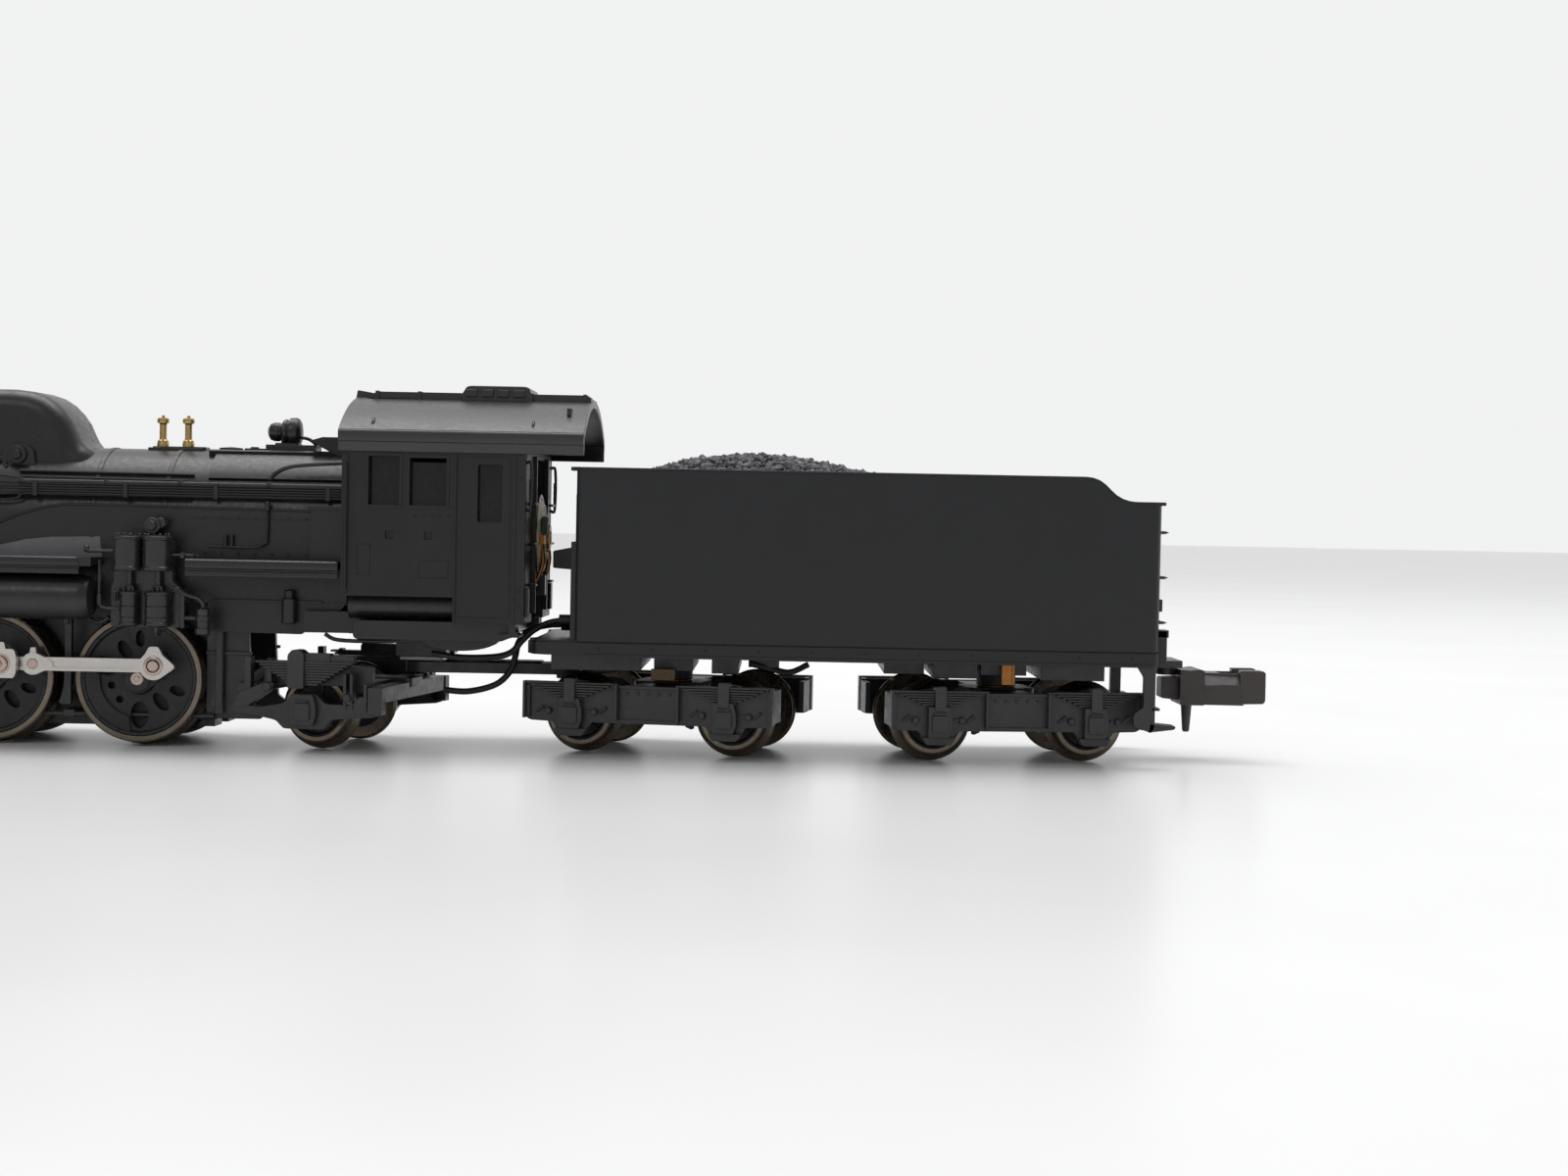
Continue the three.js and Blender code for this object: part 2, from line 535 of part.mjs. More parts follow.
function tenderBody() {
  const { wall, halfWidth, frontX } = TENDER;
  const shell = slabY(tenderOutline(0), -halfWidth, halfWidth);
  const hollow = slabY(tenderOutline(wall), -halfWidth + wall, halfWidth - wall);
  const bunker = box(frontX + 2.6, 45.4, -halfWidth + 1.2, halfWidth - 1.2, 19.2, 22);
  const floor = box(frontX + 1.8, 46.2, -halfWidth + 0.5, halfWidth - 0.5, 18.2, 19.2);
  const walls = [box(frontX + 1.8, frontX + 2.6, -8.8, 8.8, 18.6, 21.2), box(45.4, 46.2, -8.8, 8.8, 18.6, 21.2)];
  return cut(join(cut(shell, hollow), floor, ...walls), bunker);
}

function tenderWeight() {
  return box(24, 60, -8, 8, 8.75, 17.8);
}

function tenderUnderframe() {
  const deck = slabZ([
    [17.75, -4.2], [19.1, -7.6], [20.9, -9], [63.95, -9], [63.95, 9], [20.9, 9], [19.1, 7.6], [17.75, 4.2],
  ], 7.5, 8.6);
  const bosses = TENDER_TRUCKS.map(({ x }) => latheZ(rodProfile(1.5, 5.45, 7.6), 14, x, 0));
  const pins = TENDER_TRUCKS.map(({ x }) => latheZ(rodProfile(0.65, 3.9, 6), 10, x, 0));
  const couplerHanger = join(box(61.6, 66.8, -2.6, 2.6, 7.1, 7.6), latheZ(rodProfile(0.8, 6.5, 7.2), 10, 66, 0));
  const drawbarPin = latheZ(rodProfile(0.55, 5.3, 7.6), 10, 19.6, 0);
  const stub = join(box(18.3, 20.9, -1.1, 1.1, 13.7, 15.5), box(20, 20.6, -1, 1, 8.5, 14));
  const brackets = SIDES.map(([, side]) => onSide(side, box(62.2, 63.6, 8.45, 9, 2.6, 7.6)));
  return join(deck, ...bosses, ...pins, couplerHanger, drawbarPin, stub, ...brackets);
}

// A heap of coal on a regular grid: a closed solid with a bumpy top.
function coalLoad() {
  const [nx, ny] = [11, 7];
  const [x0, x1, y0, y1, base] = [23.6, 45.3, -8.1, 8.1, 19.3];
  const height = (i, j) => {
    const across = 1 - ((2 * j) / ny - 1) ** 2;
    const along = Math.sin(Math.PI * Math.min(1, (i / nx) * 1.15 + 0.02));
    const lumps = 0.35 * Math.sin(2.7 * i + 1.9 * j) + 0.25 * Math.cos(4.1 * i - 3.3 * j);
    return base + 0.8 + Math.max(0, 2.7 * across ** 0.6 * along ** 0.7 + lumps * across);
  };
  const grid = new THREE.BoxGeometry(x1 - x0, y1 - y0, 1, nx, ny, 1);
  grid.translate((x0 + x1) / 2, (y0 + y1) / 2, base + 0.5);
  const position = grid.getAttribute('position');
  for (let k = 0; k < position.count; k += 1) {
    const i = Math.round(((position.getX(k) - x0) / (x1 - x0)) * nx);
    const j = Math.round(((position.getY(k) - y0) / (y1 - y0)) * ny);
    position.setZ(k, position.getZ(k) > base + 0.5 ? height(i, j) : base);
  }
  return grid;
}

function drawbar() {
  const outline = [
    [7.6, -1.2], [8.6, -1.6], [20, -1.3], [20.9, -0.9], [20.9, 0.9], [20, 1.3], [8.6, 1.6], [7.6, 1.2],
  ];
  const bar = slabZ(outline, 5.65, 6.55);
  const holes = [9, 19.6].map((x) => latheZ(rodProfile(0.75, 5, 7), 10, x, 0));
  return cut(bar, ...holes);
}

function drawbarPin() {
  return join(box(7.5, 10.5, -3, 3, 6.68, 6.9), latheZ(rodProfile(0.55, 5.55, 6.8), 10, 9, 0));
}

function coupler() {
  const head = slabY([
    [66.85, 4.35], [73.05, 4.45], [73.25, 4.7], [73.25, 7], [71.45, 7], [71.35, 6.7], [68.65, 6.7], [68.55, 7],
    [66.85, 7],
  ], -2.2, 2.2);
  const shank = box(65.45, 67, -1.1, 1.1, 4.6, 6.4);
  const trip = latheZ([[0, 2.1], [0.26, 2.1], [0.42, 4.5], [0, 4.5]], 10, 67.6, 0); // uncoupling pin
  const jaw = box(69.8, 71.3, -1.3, 1.3, 4, 7.2);
  return cut(join(head, shank, trip), jaw);
}

// ---------- cab ----------
function cabSideWall() {
  const { frontX, rearX, halfWidth, wall, frontZ, rearZ, wallTopZ } = CAB;
  const outline = [
    [frontX, frontZ], [12.4, frontZ], [12.4, rearZ], [rearX, rearZ], [rearX, wallTopZ], [frontX, wallTopZ],
  ];
  const windows = [[6.02, 8.31, 21.9], [9.02, 11.74, 21.8], [14.05, 15.75, 21.3]];
  const openings = windows.map(([x0, x1, top]) => box(x0, x1, 8, 10, 18.3, top));
  return cut(slabY(outline, halfWidth - wall, halfWidth), ...openings);
}

function cabShell() {
  const { frontX, rearX, halfWidth, wall, frontZ, rearZ, wallTopZ } = CAB;
  const front = slabX([
    [-halfWidth, frontZ], [-7.2, frontZ], ...arc(0, BOILER.z, 7.0, 205, -25, 20), [7.2, frontZ], [halfWidth, frontZ],
    [halfWidth, wallTopZ], [8.7, wallTopZ], [6, 24.2], [0, 25.2], [-6, 24.2], [-8.7, wallTopZ], [-halfWidth, wallTopZ],
  ], frontX + 0.01, frontX + wall + 0.01);
  const sides = SIDES.map(([, side]) => onSide(side, cabSideWall()));
  const rearPlate = box(rearX - 0.6, rearX, 4, halfWidth, rearZ, wallTopZ);
  const rearPlates = SIDES.map(([, side]) => onSide(side, rearPlate));
  const steps = SIDES.map(([, side]) => onSide(side, box(rearX - 1.2, rearX, 8.2, 8.9, 8.75, 10)));
  return join(front, ...sides, ...rearPlates, ...steps);
}

function roofArch(inset) {
  const { gutterZ, apexZ, halfWidth } = ROOF;
  const half = halfWidth - inset;
  const rise = apexZ - gutterZ;
  const radius = (halfWidth ** 2 + rise ** 2) / (2 * rise);
  const sweep = THREE.MathUtils.radToDeg(Math.asin(half / radius));
  return arc(0, apexZ - radius, radius - inset, 90 - sweep, 90 + sweep, 14);
}

function cabRoof() {
  const { frontX, rearX, halfWidth, eaveZ } = ROOF;
  const [outer, inner] = [roofArch(0), roofArch(0.75).reverse()];
  const rim = halfWidth - 0.7;
  const section = [[halfWidth, eaveZ], ...outer, [-halfWidth, eaveZ], [-rim, eaveZ], ...inner, [rim, eaveZ]];
  const ventilator = box(11.95, 16.95, -3, 3, 25.6, 27.5);
  const front = box(frontX, frontX + 0.88, -1, 1, 25.9, 27.0);
  return join(slabX(section, frontX, rearX), ventilator, front);
}

function motorCan() {
  const profile = [[0, 4.9], [1.2, 4.9], [1.2, 5.3], [3.2, 5.3], [3.3, 5.5], [3.3, 16.9], [0, 16.9]];
  return latheX(profile, 20, 0, GEARS.shaftZ);
}

function motorEndCap() {
  const profile = [[0, 16.95], [3.3, 16.95], [3.3, 17.6], [2.9, 17.7], [0.9, 17.7], [0.9, 18.2], [0, 18.2]];
  return latheX(profile, 20, 0, GEARS.shaftZ);
}

// ---------- hoses between the locomotive and the tender ----------
function hose(points) {
  const curve = new THREE.CatmullRomCurve3(points.map((p) => new THREE.Vector3(...p)));
  const section = shapeOf(circle(0, 0, 0.24, 8));
  return new THREE.ExtrudeGeometry(section, { extrudePath: curve, steps: 14, bevelEnabled: false });
}
const HOSES = {
  hose_upper: [
    [19.8, -5.0, 9.95], [18.9, -5.0, 9.75], [17.8, -5.0, 9.2], [16.9, -5.0, 8.35], [16.2, -5.0, 7.55],
    [15.0, -5.0, 7.15], [12.5, -5.0, 7.05], [10.2, -5.0, 7.3],
  ],
  hose_lower: [
    [19.8, -3.3, 9.6], [18.6, -3.3, 9.5], [17.3, -3.3, 9.1], [16.5, -3.3, 8.2], [16.25, -3.3, 7.1],
    [15.9, -3.3, 6.0], [14.8, -3.3, 4.95], [12.8, -3.3, 4.4], [10.9, -3.2, 4.45],
  ],
};

// ---------- assembly ----------
SIDES.forEach(([label, side]) => {
  place(model, `chassis_${label}`, chassisHalf(side), FRAME_BLACK);
  place(model, `running_board_${label}`, runningBoard(side), BLACK);
  place(model, `smoke_deflector_${label}`, smokeDeflector(side), BLACK);
  place(model, `cylinder_${label}`, cylinderBlock(side), FRAME_BLACK);
  place(model, `air_tank_${label}`, airTank(side), BLACK);
  place(model, `side_rod_${label}`, sideRod(side), NICKEL);
  place(model, `main_rod_${label}`, mainRod(side), NICKEL);
});
place(model, 'crosshead_left', crosshead(-1), NICKEL);
const rightCrosshead = place(model, 'crosshead_right', crosshead(1), NICKEL);
rightCrosshead.position.x = DRIVER.throwRadius * (Math.cos(PIN_ANGLE - Math.PI / 2) - Math.cos(PIN_ANGLE));
place(model, 'keeper_plate', keeperPlate(), FRAME_BLACK);
place(model, 'boiler_shell', boilerShell(), BLACK);
place(model, 'smokebox_door', smokeboxDoor(), BLACK);
place(model, 'dome_cover', domeCover(), BLACK);
place(model, 'chimney', chimney(), BLACK);
place(model, 'feedwater_heater', feedwaterHeater(), BLACK);
place(model, 'headlamp', headlamp(), BLACK);
place(model, 'safety_valves', safetyValves(), BRASS);
place(model, 'turbo_generator', turboGenerator(), BLACK);
place(model, 'feedwater_pump', feedwaterPump(), BLACK);
place(model, 'air_compressor', airCompressor(), BLACK);
place(model, 'pipe_bundle', pipeBundle(), BLACK);
place(model, 'pilot_beam', pilotBeam(), BLACK);
place(model, 'cab_shell', cabShell(), BLACK);
place(model, 'cab_roof', cabRoof(), BLACK);
place(model, 'motor_can', motorCan(), FRAME_BLACK);
place(model, 'motor_end_cap', motorEndCap(), CREAM);
place(model, 'motor_shaft', motorShaft(), NICKEL);
DRIVER.x.forEach((x, i) => {
  place(model, `driver_wheelset_${i + 1}`, driverWheelset(i + 1), WHEEL).position.set(x, 0, AXLE_Z);
});
place(model, 'idler_gear', spurGear(GEARS.idlerTeeth, GEAR_PHASE.idler, 2.6), BRASS)
  .position.set(IDLER[0], 0, IDLER[1]);
place(model, 'worm_wheel', spurGear(GEARS.wormTeeth, GEAR_PHASE.worm, 2.6), BRASS)
  .position.set(GEAR_X, 0, GEARS.wormWheelZ);

place(model, 'leading_truck', guidingTruck(), FRAME_BLACK);
place(model, 'leading_wheelset', carryingWheelset(5.7), WHEEL).position.set(GUIDING_AXLE_X, 0, CARRYING.flange);

const trailing = new THREE.Group();
trailing.position.x = TRAILING.pivotX;
trailing.rotation.z = TRAILING.yaw;
place(trailing, 'trailing_truck', trailingTruck(), FRAME_BLACK);
place(trailing, 'trailing_wheelset', carryingWheelset(), WHEEL)
  .position.set(TRAILING.axleX - TRAILING.pivotX, 0, CARRYING.flange);
model.add(trailing);

place(model, 'drawbar', drawbar(), FRAME_BLACK);
place(model, 'drawbar_pin', drawbarPin(), NICKEL);
place(model, 'tender_body', tenderBody(), BLACK);
place(model, 'tender_underframe', tenderUnderframe(), BLACK);
place(model, 'tender_weight', tenderWeight(), FRAME_BLACK);
place(model, 'coal_load', coalLoad(), COAL);
TENDER_TRUCKS.forEach(({ name, x, yaw, axles }) => {
  const truck = new THREE.Group();
  truck.position.x = x;
  truck.rotation.z = yaw;
  place(truck, name, tenderTruckFrame(), FRAME_BLACK);
  axles.forEach((number, k) => {
    place(truck, `tender_wheelset_${number}`, carryingWheelset(), WHEEL)
      .position.set((k === 0 ? -1 : 1) * TRUCK_HALF_BASE, 0, CARRYING.flange);
  });
  model.add(truck);
});
place(model, 'rear_coupler', coupler(), FRAME_BLACK);
place(model, 'front_coupler', coupler().rotateZ(Math.PI), FRAME_BLACK);
Object.entries(HOSES).forEach(([name, points]) => place(model, name, hose(points), RUBBER));

export default model;
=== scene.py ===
"""Looks for a small-scale 2-8-2 steam locomotive and tender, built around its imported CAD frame.

Lengths below are in millimetres in the CAD's own frame and are scaled to metres as meshes are made.
-Y is the locomotive's left side, +X runs to the tender's rear coupler, and z = 0 is the rail plane.
"""

import math
import random

import bmesh
import bpy
from mathutils import Matrix, Vector


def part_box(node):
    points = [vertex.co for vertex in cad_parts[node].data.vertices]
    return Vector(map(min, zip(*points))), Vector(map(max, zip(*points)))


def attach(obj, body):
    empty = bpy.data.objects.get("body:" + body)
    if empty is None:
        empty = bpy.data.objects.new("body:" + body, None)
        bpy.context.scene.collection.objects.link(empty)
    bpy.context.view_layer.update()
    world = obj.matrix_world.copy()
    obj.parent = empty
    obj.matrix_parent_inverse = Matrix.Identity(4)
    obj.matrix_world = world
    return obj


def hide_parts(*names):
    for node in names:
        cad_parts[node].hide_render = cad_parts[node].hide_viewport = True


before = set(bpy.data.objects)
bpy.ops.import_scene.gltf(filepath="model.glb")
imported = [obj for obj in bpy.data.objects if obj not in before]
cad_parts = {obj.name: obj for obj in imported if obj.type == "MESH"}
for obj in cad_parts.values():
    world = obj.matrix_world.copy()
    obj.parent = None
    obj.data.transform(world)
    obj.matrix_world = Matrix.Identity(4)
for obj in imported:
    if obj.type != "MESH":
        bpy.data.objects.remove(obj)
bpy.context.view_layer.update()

MM = 0.001
LEFT, RIGHT = -1, 1
SIDES = (("left", LEFT), ("right", RIGHT))

# ---------- camera, in millimetres and degrees ----------
CAMERA_PLACE = (36.45, -176.0, 17.4)
CAMERA_PITCH = 1.57
CAMERA_ROLL = 1.117
CAMERA_LENS = 52.54
SENSOR_WIDTH = 36
CLIP_NEAR, CLIP_FAR = 0.01, 20  # metres


def make_camera():
    pitch, roll = math.radians(CAMERA_PITCH), math.radians(CAMERA_ROLL)
    forward = Vector((0, math.cos(pitch), -math.sin(pitch)))
    level_right, level_up = Vector((1, 0, 0)), Vector((0, math.sin(pitch), math.cos(pitch)))
    right = math.cos(roll) * level_right + math.sin(roll) * level_up
    up = math.cos(roll) * level_up - math.sin(roll) * level_right
    data = bpy.data.cameras.new("camera")
    data.lens, data.sensor_width = CAMERA_LENS, SENSOR_WIDTH
    data.clip_start, data.clip_end = CLIP_NEAR, CLIP_FAR
    camera = bpy.data.objects.new("camera", data)
    turn = Matrix((right, up, -forward)).transposed().to_4x4()
    camera.matrix_world = Matrix.Translation(Vector(CAMERA_PLACE) * MM) @ turn
    bpy.context.scene.collection.objects.link(camera)
    bpy.context.scene.camera = camera


make_camera()

# ---------- materials ----------
# Texture coordinates are object ones in metres, so a scale of 1000 repeats about once a millimetre.


class Nodes:
    """A short way to write a node tree."""

    def __init__(self, name):
        self.material = bpy.data.materials.new(name)
        self.material.use_nodes = True
        self.tree = self.material.node_tree
        self.shader = self.tree.nodes["Principled BSDF"]
        self.place = self.add("ShaderNodeTexCoord").outputs["Object"]

    def add(self, kind, **settings):
        node = self.tree.nodes.new(kind)
        for key, value in settings.items():
            setattr(node, key, value)
        return node

    def link(self, source, target):
        self.tree.links.new(source, target)

    def noise(self, scale, detail=3, roughness=0.6, stretch=(1, 1, 1)):
        mapping = self.add("ShaderNodeMapping")
        mapping.inputs["Scale"].default_value = stretch
        self.link(self.place, mapping.inputs["Vector"])
        node = self.add("ShaderNodeTexNoise")
        node.inputs["Scale"].default_value = scale
        node.inputs["Detail"].default_value = detail
        node.inputs["Roughness"].default_value = roughness
        self.link(mapping.outputs[0], node.inputs["Vector"])
        return node.outputs["Fac"]

    def cells(self, scale):
        node = self.add("ShaderNodeTexVoronoi")
        node.inputs["Scale"].default_value = scale
        self.link(self.place, node.inputs["Vector"])
        return node.outputs["Distance"]

    def ramp(self, source, stops):
        node = self.add("ShaderNodeValToRGB")
        elements = node.color_ramp.elements
        elements[0].position, elements[0].color = stops[0][0], (*stops[0][1], 1)
        elements[1].position, elements[1].color = stops[-1][0], (*stops[-1][1], 1)
        for position, colour in stops[1:-1]:
            elements.new(position).color = (*colour, 1)
        self.link(source, node.inputs["Fac"])
        return node.outputs["Color"]

    def span(self, source, low, high):
        node = self.add("ShaderNodeMapRange")
        node.inputs["From Min"].default_value, node.inputs["From Max"].default_value = 0.3, 0.7
        node.inputs["To Min"].default_value, node.inputs["To Max"].default_value = low, high
        self.link(source, node.inputs["Value"])
        return node.outputs["Result"]

    def bump(self, *layers):
        """Each layer is (height, strength, depth in metres)."""
        last = None
        for height, strength, depth in layers:
            node = self.add("ShaderNodeBump")
            node.inputs["Strength"].default_value = strength
            node.inputs["Distance"].default_value = depth
            self.link(height, node.inputs["Height"])
            if last:
                self.link(last, node.inputs["Normal"])
            last = node.outputs["Normal"]
        self.link(last, self.shader.inputs["Normal"])


def linear(value):
    value /= 255
    return value / 12.92 if value <= 0.04045 else ((value + 0.055) / 1.055) ** 2.4


def colour(red, green, blue):
    return tuple(linear(v) for v in (red, green, blue))


def scaled(rgb, factor):
    return tuple(min(1.0, v * factor) for v in rgb)


def finish(name, rgb, rough, metal=0.0, grain=2600, spread=0.18, bump=0.25, depth=0.00001,
           rough_spread=0.08, stretch=(1, 1, 1), specular=0.5, coat=0.0):
    """A painted, moulded or plated finish: cloudy colour, uneven gloss and a fine grain."""
    n = Nodes(name)
    cloud = n.noise(220, 4, 0.6)
    fine = n.noise(grain, 3, 0.6, stretch)
    tone = n.ramp(cloud, [(0.3, scaled(rgb, 1 - spread)), (0.55, rgb), (0.75, scaled(rgb, 1 + spread))])
    n.link(tone, n.shader.inputs["Base Color"])
    n.link(n.span(fine, rough - rough_spread, rough + rough_spread), n.shader.inputs["Roughness"])
    n.shader.inputs["Metallic"].default_value = metal
    n.shader.inputs["Specular IOR Level"].default_value = specular
    n.shader.inputs["Coat Weight"].default_value = coat
    n.bump((fine, bump, depth), (cloud, 0.2, 0.00003))
    return n.material


def coal_finish():
    n = Nodes("coal")
    facet = n.cells(1500)
    grit = n.noise(6000, 5, 0.7)
    n.link(n.ramp(facet, [(0.0, colour(50, 50, 53)), (0.5, colour(84, 84, 88)),
                          (1.0, colour(140, 140, 144))]), n.shader.inputs["Base Color"])
    n.link(n.span(grit, 0.45, 0.8), n.shader.inputs["Roughness"])
    n.bump((facet, 0.5, 0.0002), (grit, 0.5, 0.00005))
    return n.material


BODY = finish("body_black", colour(31, 31, 33), 0.34, specular=0.5)
BOILER_PAINT = finish("boiler_black", colour(29, 28, 29), 0.34, spread=0.12, bump=0.12, specular=0.5)
CAB = finish("cab_black", colour(33, 30, 30), 0.42, grain=3400, specular=0.4)
# The roof's black is a little lighter than the body's: painted top light, standing in for the light the roof
# catches from above.
ROOF_TOPLIT = finish("roof_black_painted_top_light", colour(38, 38, 40), 0.36, specular=0.62)
TENDER = finish("tender_black", colour(30, 31, 33), 0.38, spread=0.1, specular=0.42)
FRAME = finish("frame_black", colour(42, 42, 43), 0.42, grain=1800, bump=0.4, specular=0.6)
WHEEL_CENTRE = finish("wheel_centre_black", colour(33, 33, 35), 0.5, grain=2000)
TYRE = finish("tyre_nickel", colour(120, 110, 98), 0.28, metal=0.95, grain=900, stretch=(1, 6, 1))
NICKEL = finish("rod_nickel", colour(206, 202, 196), 0.3, metal=0.9, grain=1600, stretch=(0.15, 1, 1),
                spread=0.08)
PINK_NICKEL = finish("pin_nickel", colour(192, 172, 162), 0.26, metal=0.95, grain=2000, spread=0.06)
BRASS = finish("turned_brass", colour(196, 168, 112), 0.25, metal=1.0, grain=2400, stretch=(1, 1, 8),
               spread=0.1)
COPPER = finish("copper_strip", colour(158, 108, 58), 0.32, metal=1.0, grain=1800)
STEEL = finish("motor_steel", colour(120, 120, 124), 0.35, metal=0.9, grain=1500, stretch=(8, 1, 1))
CREAM = finish("motor_cap_cream", colour(226, 216, 190), 0.5, grain=2200)
GREEN = finish("brush_block_green", colour(30, 62, 48), 0.5)
COUPLER = finish("coupler_brown_black", colour(62, 55, 55), 0.42, grain=2600)
RUBBER = finish("hose_black", colour(26, 26, 27), 0.5, grain=3000)
COAL = coal_finish()
# A light grey for the side panel under the boiler: painted highlight, standing in for the light the panel
# catches from above.
PANEL_PAINTED_HIGHLIGHT = finish("panel_grey_painted_highlight", colour(112, 112, 115), 0.4, grain=1500, bump=0.4)
PUMP = finish("pump_black", colour(36, 36, 38), 0.28, grain=2200, specular=0.6)
BRONZE = finish("dull_bronze", colour(84, 70, 52), 0.4, metal=0.8, grain=1800)
# Near-black and opaque: painted shade for the cab interior seen through the windows.
CAB_SHADE_PANE = finish("cab_window_painted_shade", colour(24, 25, 27), 0.12, specular=0.4, spread=0.05)
LAMP_LENS = finish("lamp_lens", colour(190, 186, 176), 0.12, coat=0.5, spread=0.05)

# The material slot for each finish. Finishes that are not named here have none.
SLOT_FINISHES = {
    "body_black": (BODY, BOILER_PAINT, CAB, ROOF_TOPLIT, TENDER, PUMP),
    "frame_black": (FRAME,),
    "rod_nickel": (NICKEL, PINK_NICKEL),
    "turned_brass": (BRASS, BRONZE, COPPER),
    "motor_steel": (STEEL,),
    "motor_cap_cream": (CREAM,),
    "coal_black": (COAL,),
    "hose_rubber": (RUBBER,),
    "coupler_plastic": (COUPLER,),
    "wheel_metal": (WHEEL_CENTRE, TYRE),
}
SLOT_OF = {finish_used.name: slot for slot, finishes in SLOT_FINISHES.items() for finish_used in finishes}
OF_FINISH = "the slot of the finish"


# ---------- mesh building ----------
EDGE_SEGMENTS = 2
AXES = {
    "X": Matrix(((0, 0, 1), (1, 0, 0), (0, 1, 0))),
    "Y": Matrix(((1, 0, 0), (0, 0, 1), (0, 1, 0))),
    "Z": Matrix(((1, 0, 0), (0, 1, 0), (0, 0, 1))),
}


def along(axis, a, b, h):
    """A point from its two coordinates across the axis, in X, Y, Z order, and its height along the axis."""
    return AXES[axis] @ Vector((a, b, h))


def on(side, near, far):
    """Two distances from the centreline as a low and a high Y on the given side."""
    return sorted((side * near, side * far))


def arc(a, b, radius, start, stop, steps):
    angles = [math.radians(start + (stop - start) * i / steps) for i in range(steps + 1)]
    return [(a + radius * math.cos(t), b + radius * math.sin(t)) for t in angles]


def ellipse(a, b, long, short, tilt, sides):
    c, s = math.cos(tilt), math.sin(tilt)
    points = []
    for i in range(sides):
        t = 2 * math.pi * i / sides
        u, v = long * math.cos(t), short * math.sin(t)
        points.append((a + u * c - v * s, b + u * s + v * c))
    return points


def rounded(points, radius, steps=5):
    """The outline with every corner rounded."""
    result = []
    count = len(points)
    for i, point in enumerate(points):
        p = Vector(point)
        before = Vector(points[i - 1]) - p
        after = Vector(points[(i + 1) % count]) - p
        reach = min(radius, before.length / 2.05, after.length / 2.05)
        start, end = p + before.normalized() * reach, p + after.normalized() * reach
        for k in range(steps + 1):
            t = k / steps
            result.append(tuple((1 - t) ** 2 * start + 2 * t * (1 - t) * p + t * t * end))
    return result


class Piece:
    """Gathers closed shapes, all of one material, into one object."""

    def __init__(self):
        self.mesh = bmesh.new()

    def prism(self, outline, axis, low, high):
        lower = [self.mesh.verts.new(along(axis, a, b, low)) for a, b in outline]
        upper = [self.mesh.verts.new(along(axis, a, b, high)) for a, b in outline]
        self.mesh.faces.new(lower)
        self.mesh.faces.new(upper[::-1])
        for i in range(len(outline)):
            j = (i + 1) % len(outline)
            self.mesh.faces.new((lower[j], lower[i], upper[i], upper[j]))
        return self

    def box(self, x0, x1, y0, y1, z0, z1):
        return self.prism([(x0, y0), (x1, y0), (x1, y1), (x0, y1)], "Z", z0, z1)

    def lathe(self, profile, axis, a=0.0, b=0.0, sides=32):
        """Turns a profile of (radius, height) about the axis. It ends on the axis or closes on itself."""
        rings = []
        for radius, height in profile:
            if radius < 1e-6:
                rings.append([self.mesh.verts.new(along(axis, a, b, height))])
            else:
                rings.append([self.mesh.verts.new(along(axis, a + u, b + v, height))
                              for u, v in arc(0, 0, radius, 0, 360 - 360 / sides, sides - 1)])
        pairs = list(zip(rings, rings[1:]))
        if len(rings[0]) > 1:
            pairs.append((rings[-1], rings[0]))
        for one, two in pairs:
            for i in range(sides):
                j = (i + 1) % sides
                corners = [one[i % len(one)], one[j % len(one)], two[j % len(two)], two[i % len(two)]]
                unique = list(dict.fromkeys(corners))
                if len(unique) > 2:
                    self.mesh.faces.new(unique)
        return self

    def rod(self, radius, axis, a, b, low, high, sides=20, edge=0.06):
        edge = min(edge, radius / 3, (high - low) / 3)
        profile = [(0, low), (radius - edge, low), (radius, low + edge), (radius, high - edge),
                   (radius - edge, high), (0, high)]
        return self.lathe(profile, axis, a, b, sides)

    def tube(self, points, radius, sides=10, smooth=4):
        """A round bar along a smooth line through the points."""
        path = smooth_line(points, smooth)
        side_dir = Vector((0.31, 0.87, 0.39))
        rings = []
        for i, p in enumerate(path):
            ahead = path[min(i + 1, len(path) - 1)] - path[max(i - 1, 0)]
            u = side_dir.cross(ahead).normalized()
            v = ahead.cross(u).normalized()
            rings.append([self.mesh.verts.new(p + u * (radius * math.cos(2 * math.pi * k / sides))
                                              + v * (radius * math.sin(2 * math.pi * k / sides)))
                          for k in range(sides)])
        for one, two in zip(rings, rings[1:]):
            for k in range(sides):
                j = (k + 1) % sides
                self.mesh.faces.new((one[k], one[j], two[j], two[k]))
        self.mesh.faces.new(rings[0][::-1])
        self.mesh.faces.new(rings[-1])
        return self

    def turn(self, matrix):
        bmesh.ops.transform(self.mesh, matrix=matrix, verts=self.mesh.verts)
        return self

    def mirrored(self, side):
        """Drawn for the +Y side: the mirror image stands on the other one."""
        if side < 0:
            self.turn(Matrix.Diagonal((1, -1, 1, 1)))
        return self

    def to_object(self, name):
        """Writes the gathered shapes out as a new object, in metres, and lets go of them."""
        bmesh.ops.recalc_face_normals(self.mesh, faces=self.mesh.faces)
        bmesh.ops.scale(self.mesh, vec=(MM, MM, MM), verts=self.mesh.verts)
        data = bpy.data.meshes.new(name)
        self.mesh.to_mesh(data)
        self.mesh.free()
        shape = bpy.data.objects.new(name, data)
        bpy.context.scene.collection.objects.link(shape)
        return shape

    def done(self, name, material, body="locomotive", bevel=0.05, angle=35, replaces=(), slot=OF_FINISH,
             cuts=None):
        """Makes the finished piece, which rides a body and may stand in for CAD nodes."""
        piece = self.to_object(name)
        piece.data.materials.append(material)
        if cuts is not None:
            subtract(piece, cuts)
        polish(piece, bevel, angle)
        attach(piece, body)
        if replaces:
            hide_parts(*replaces)
        if slot == OF_FINISH:
            slot = SLOT_OF.get(material.name)
        return piece


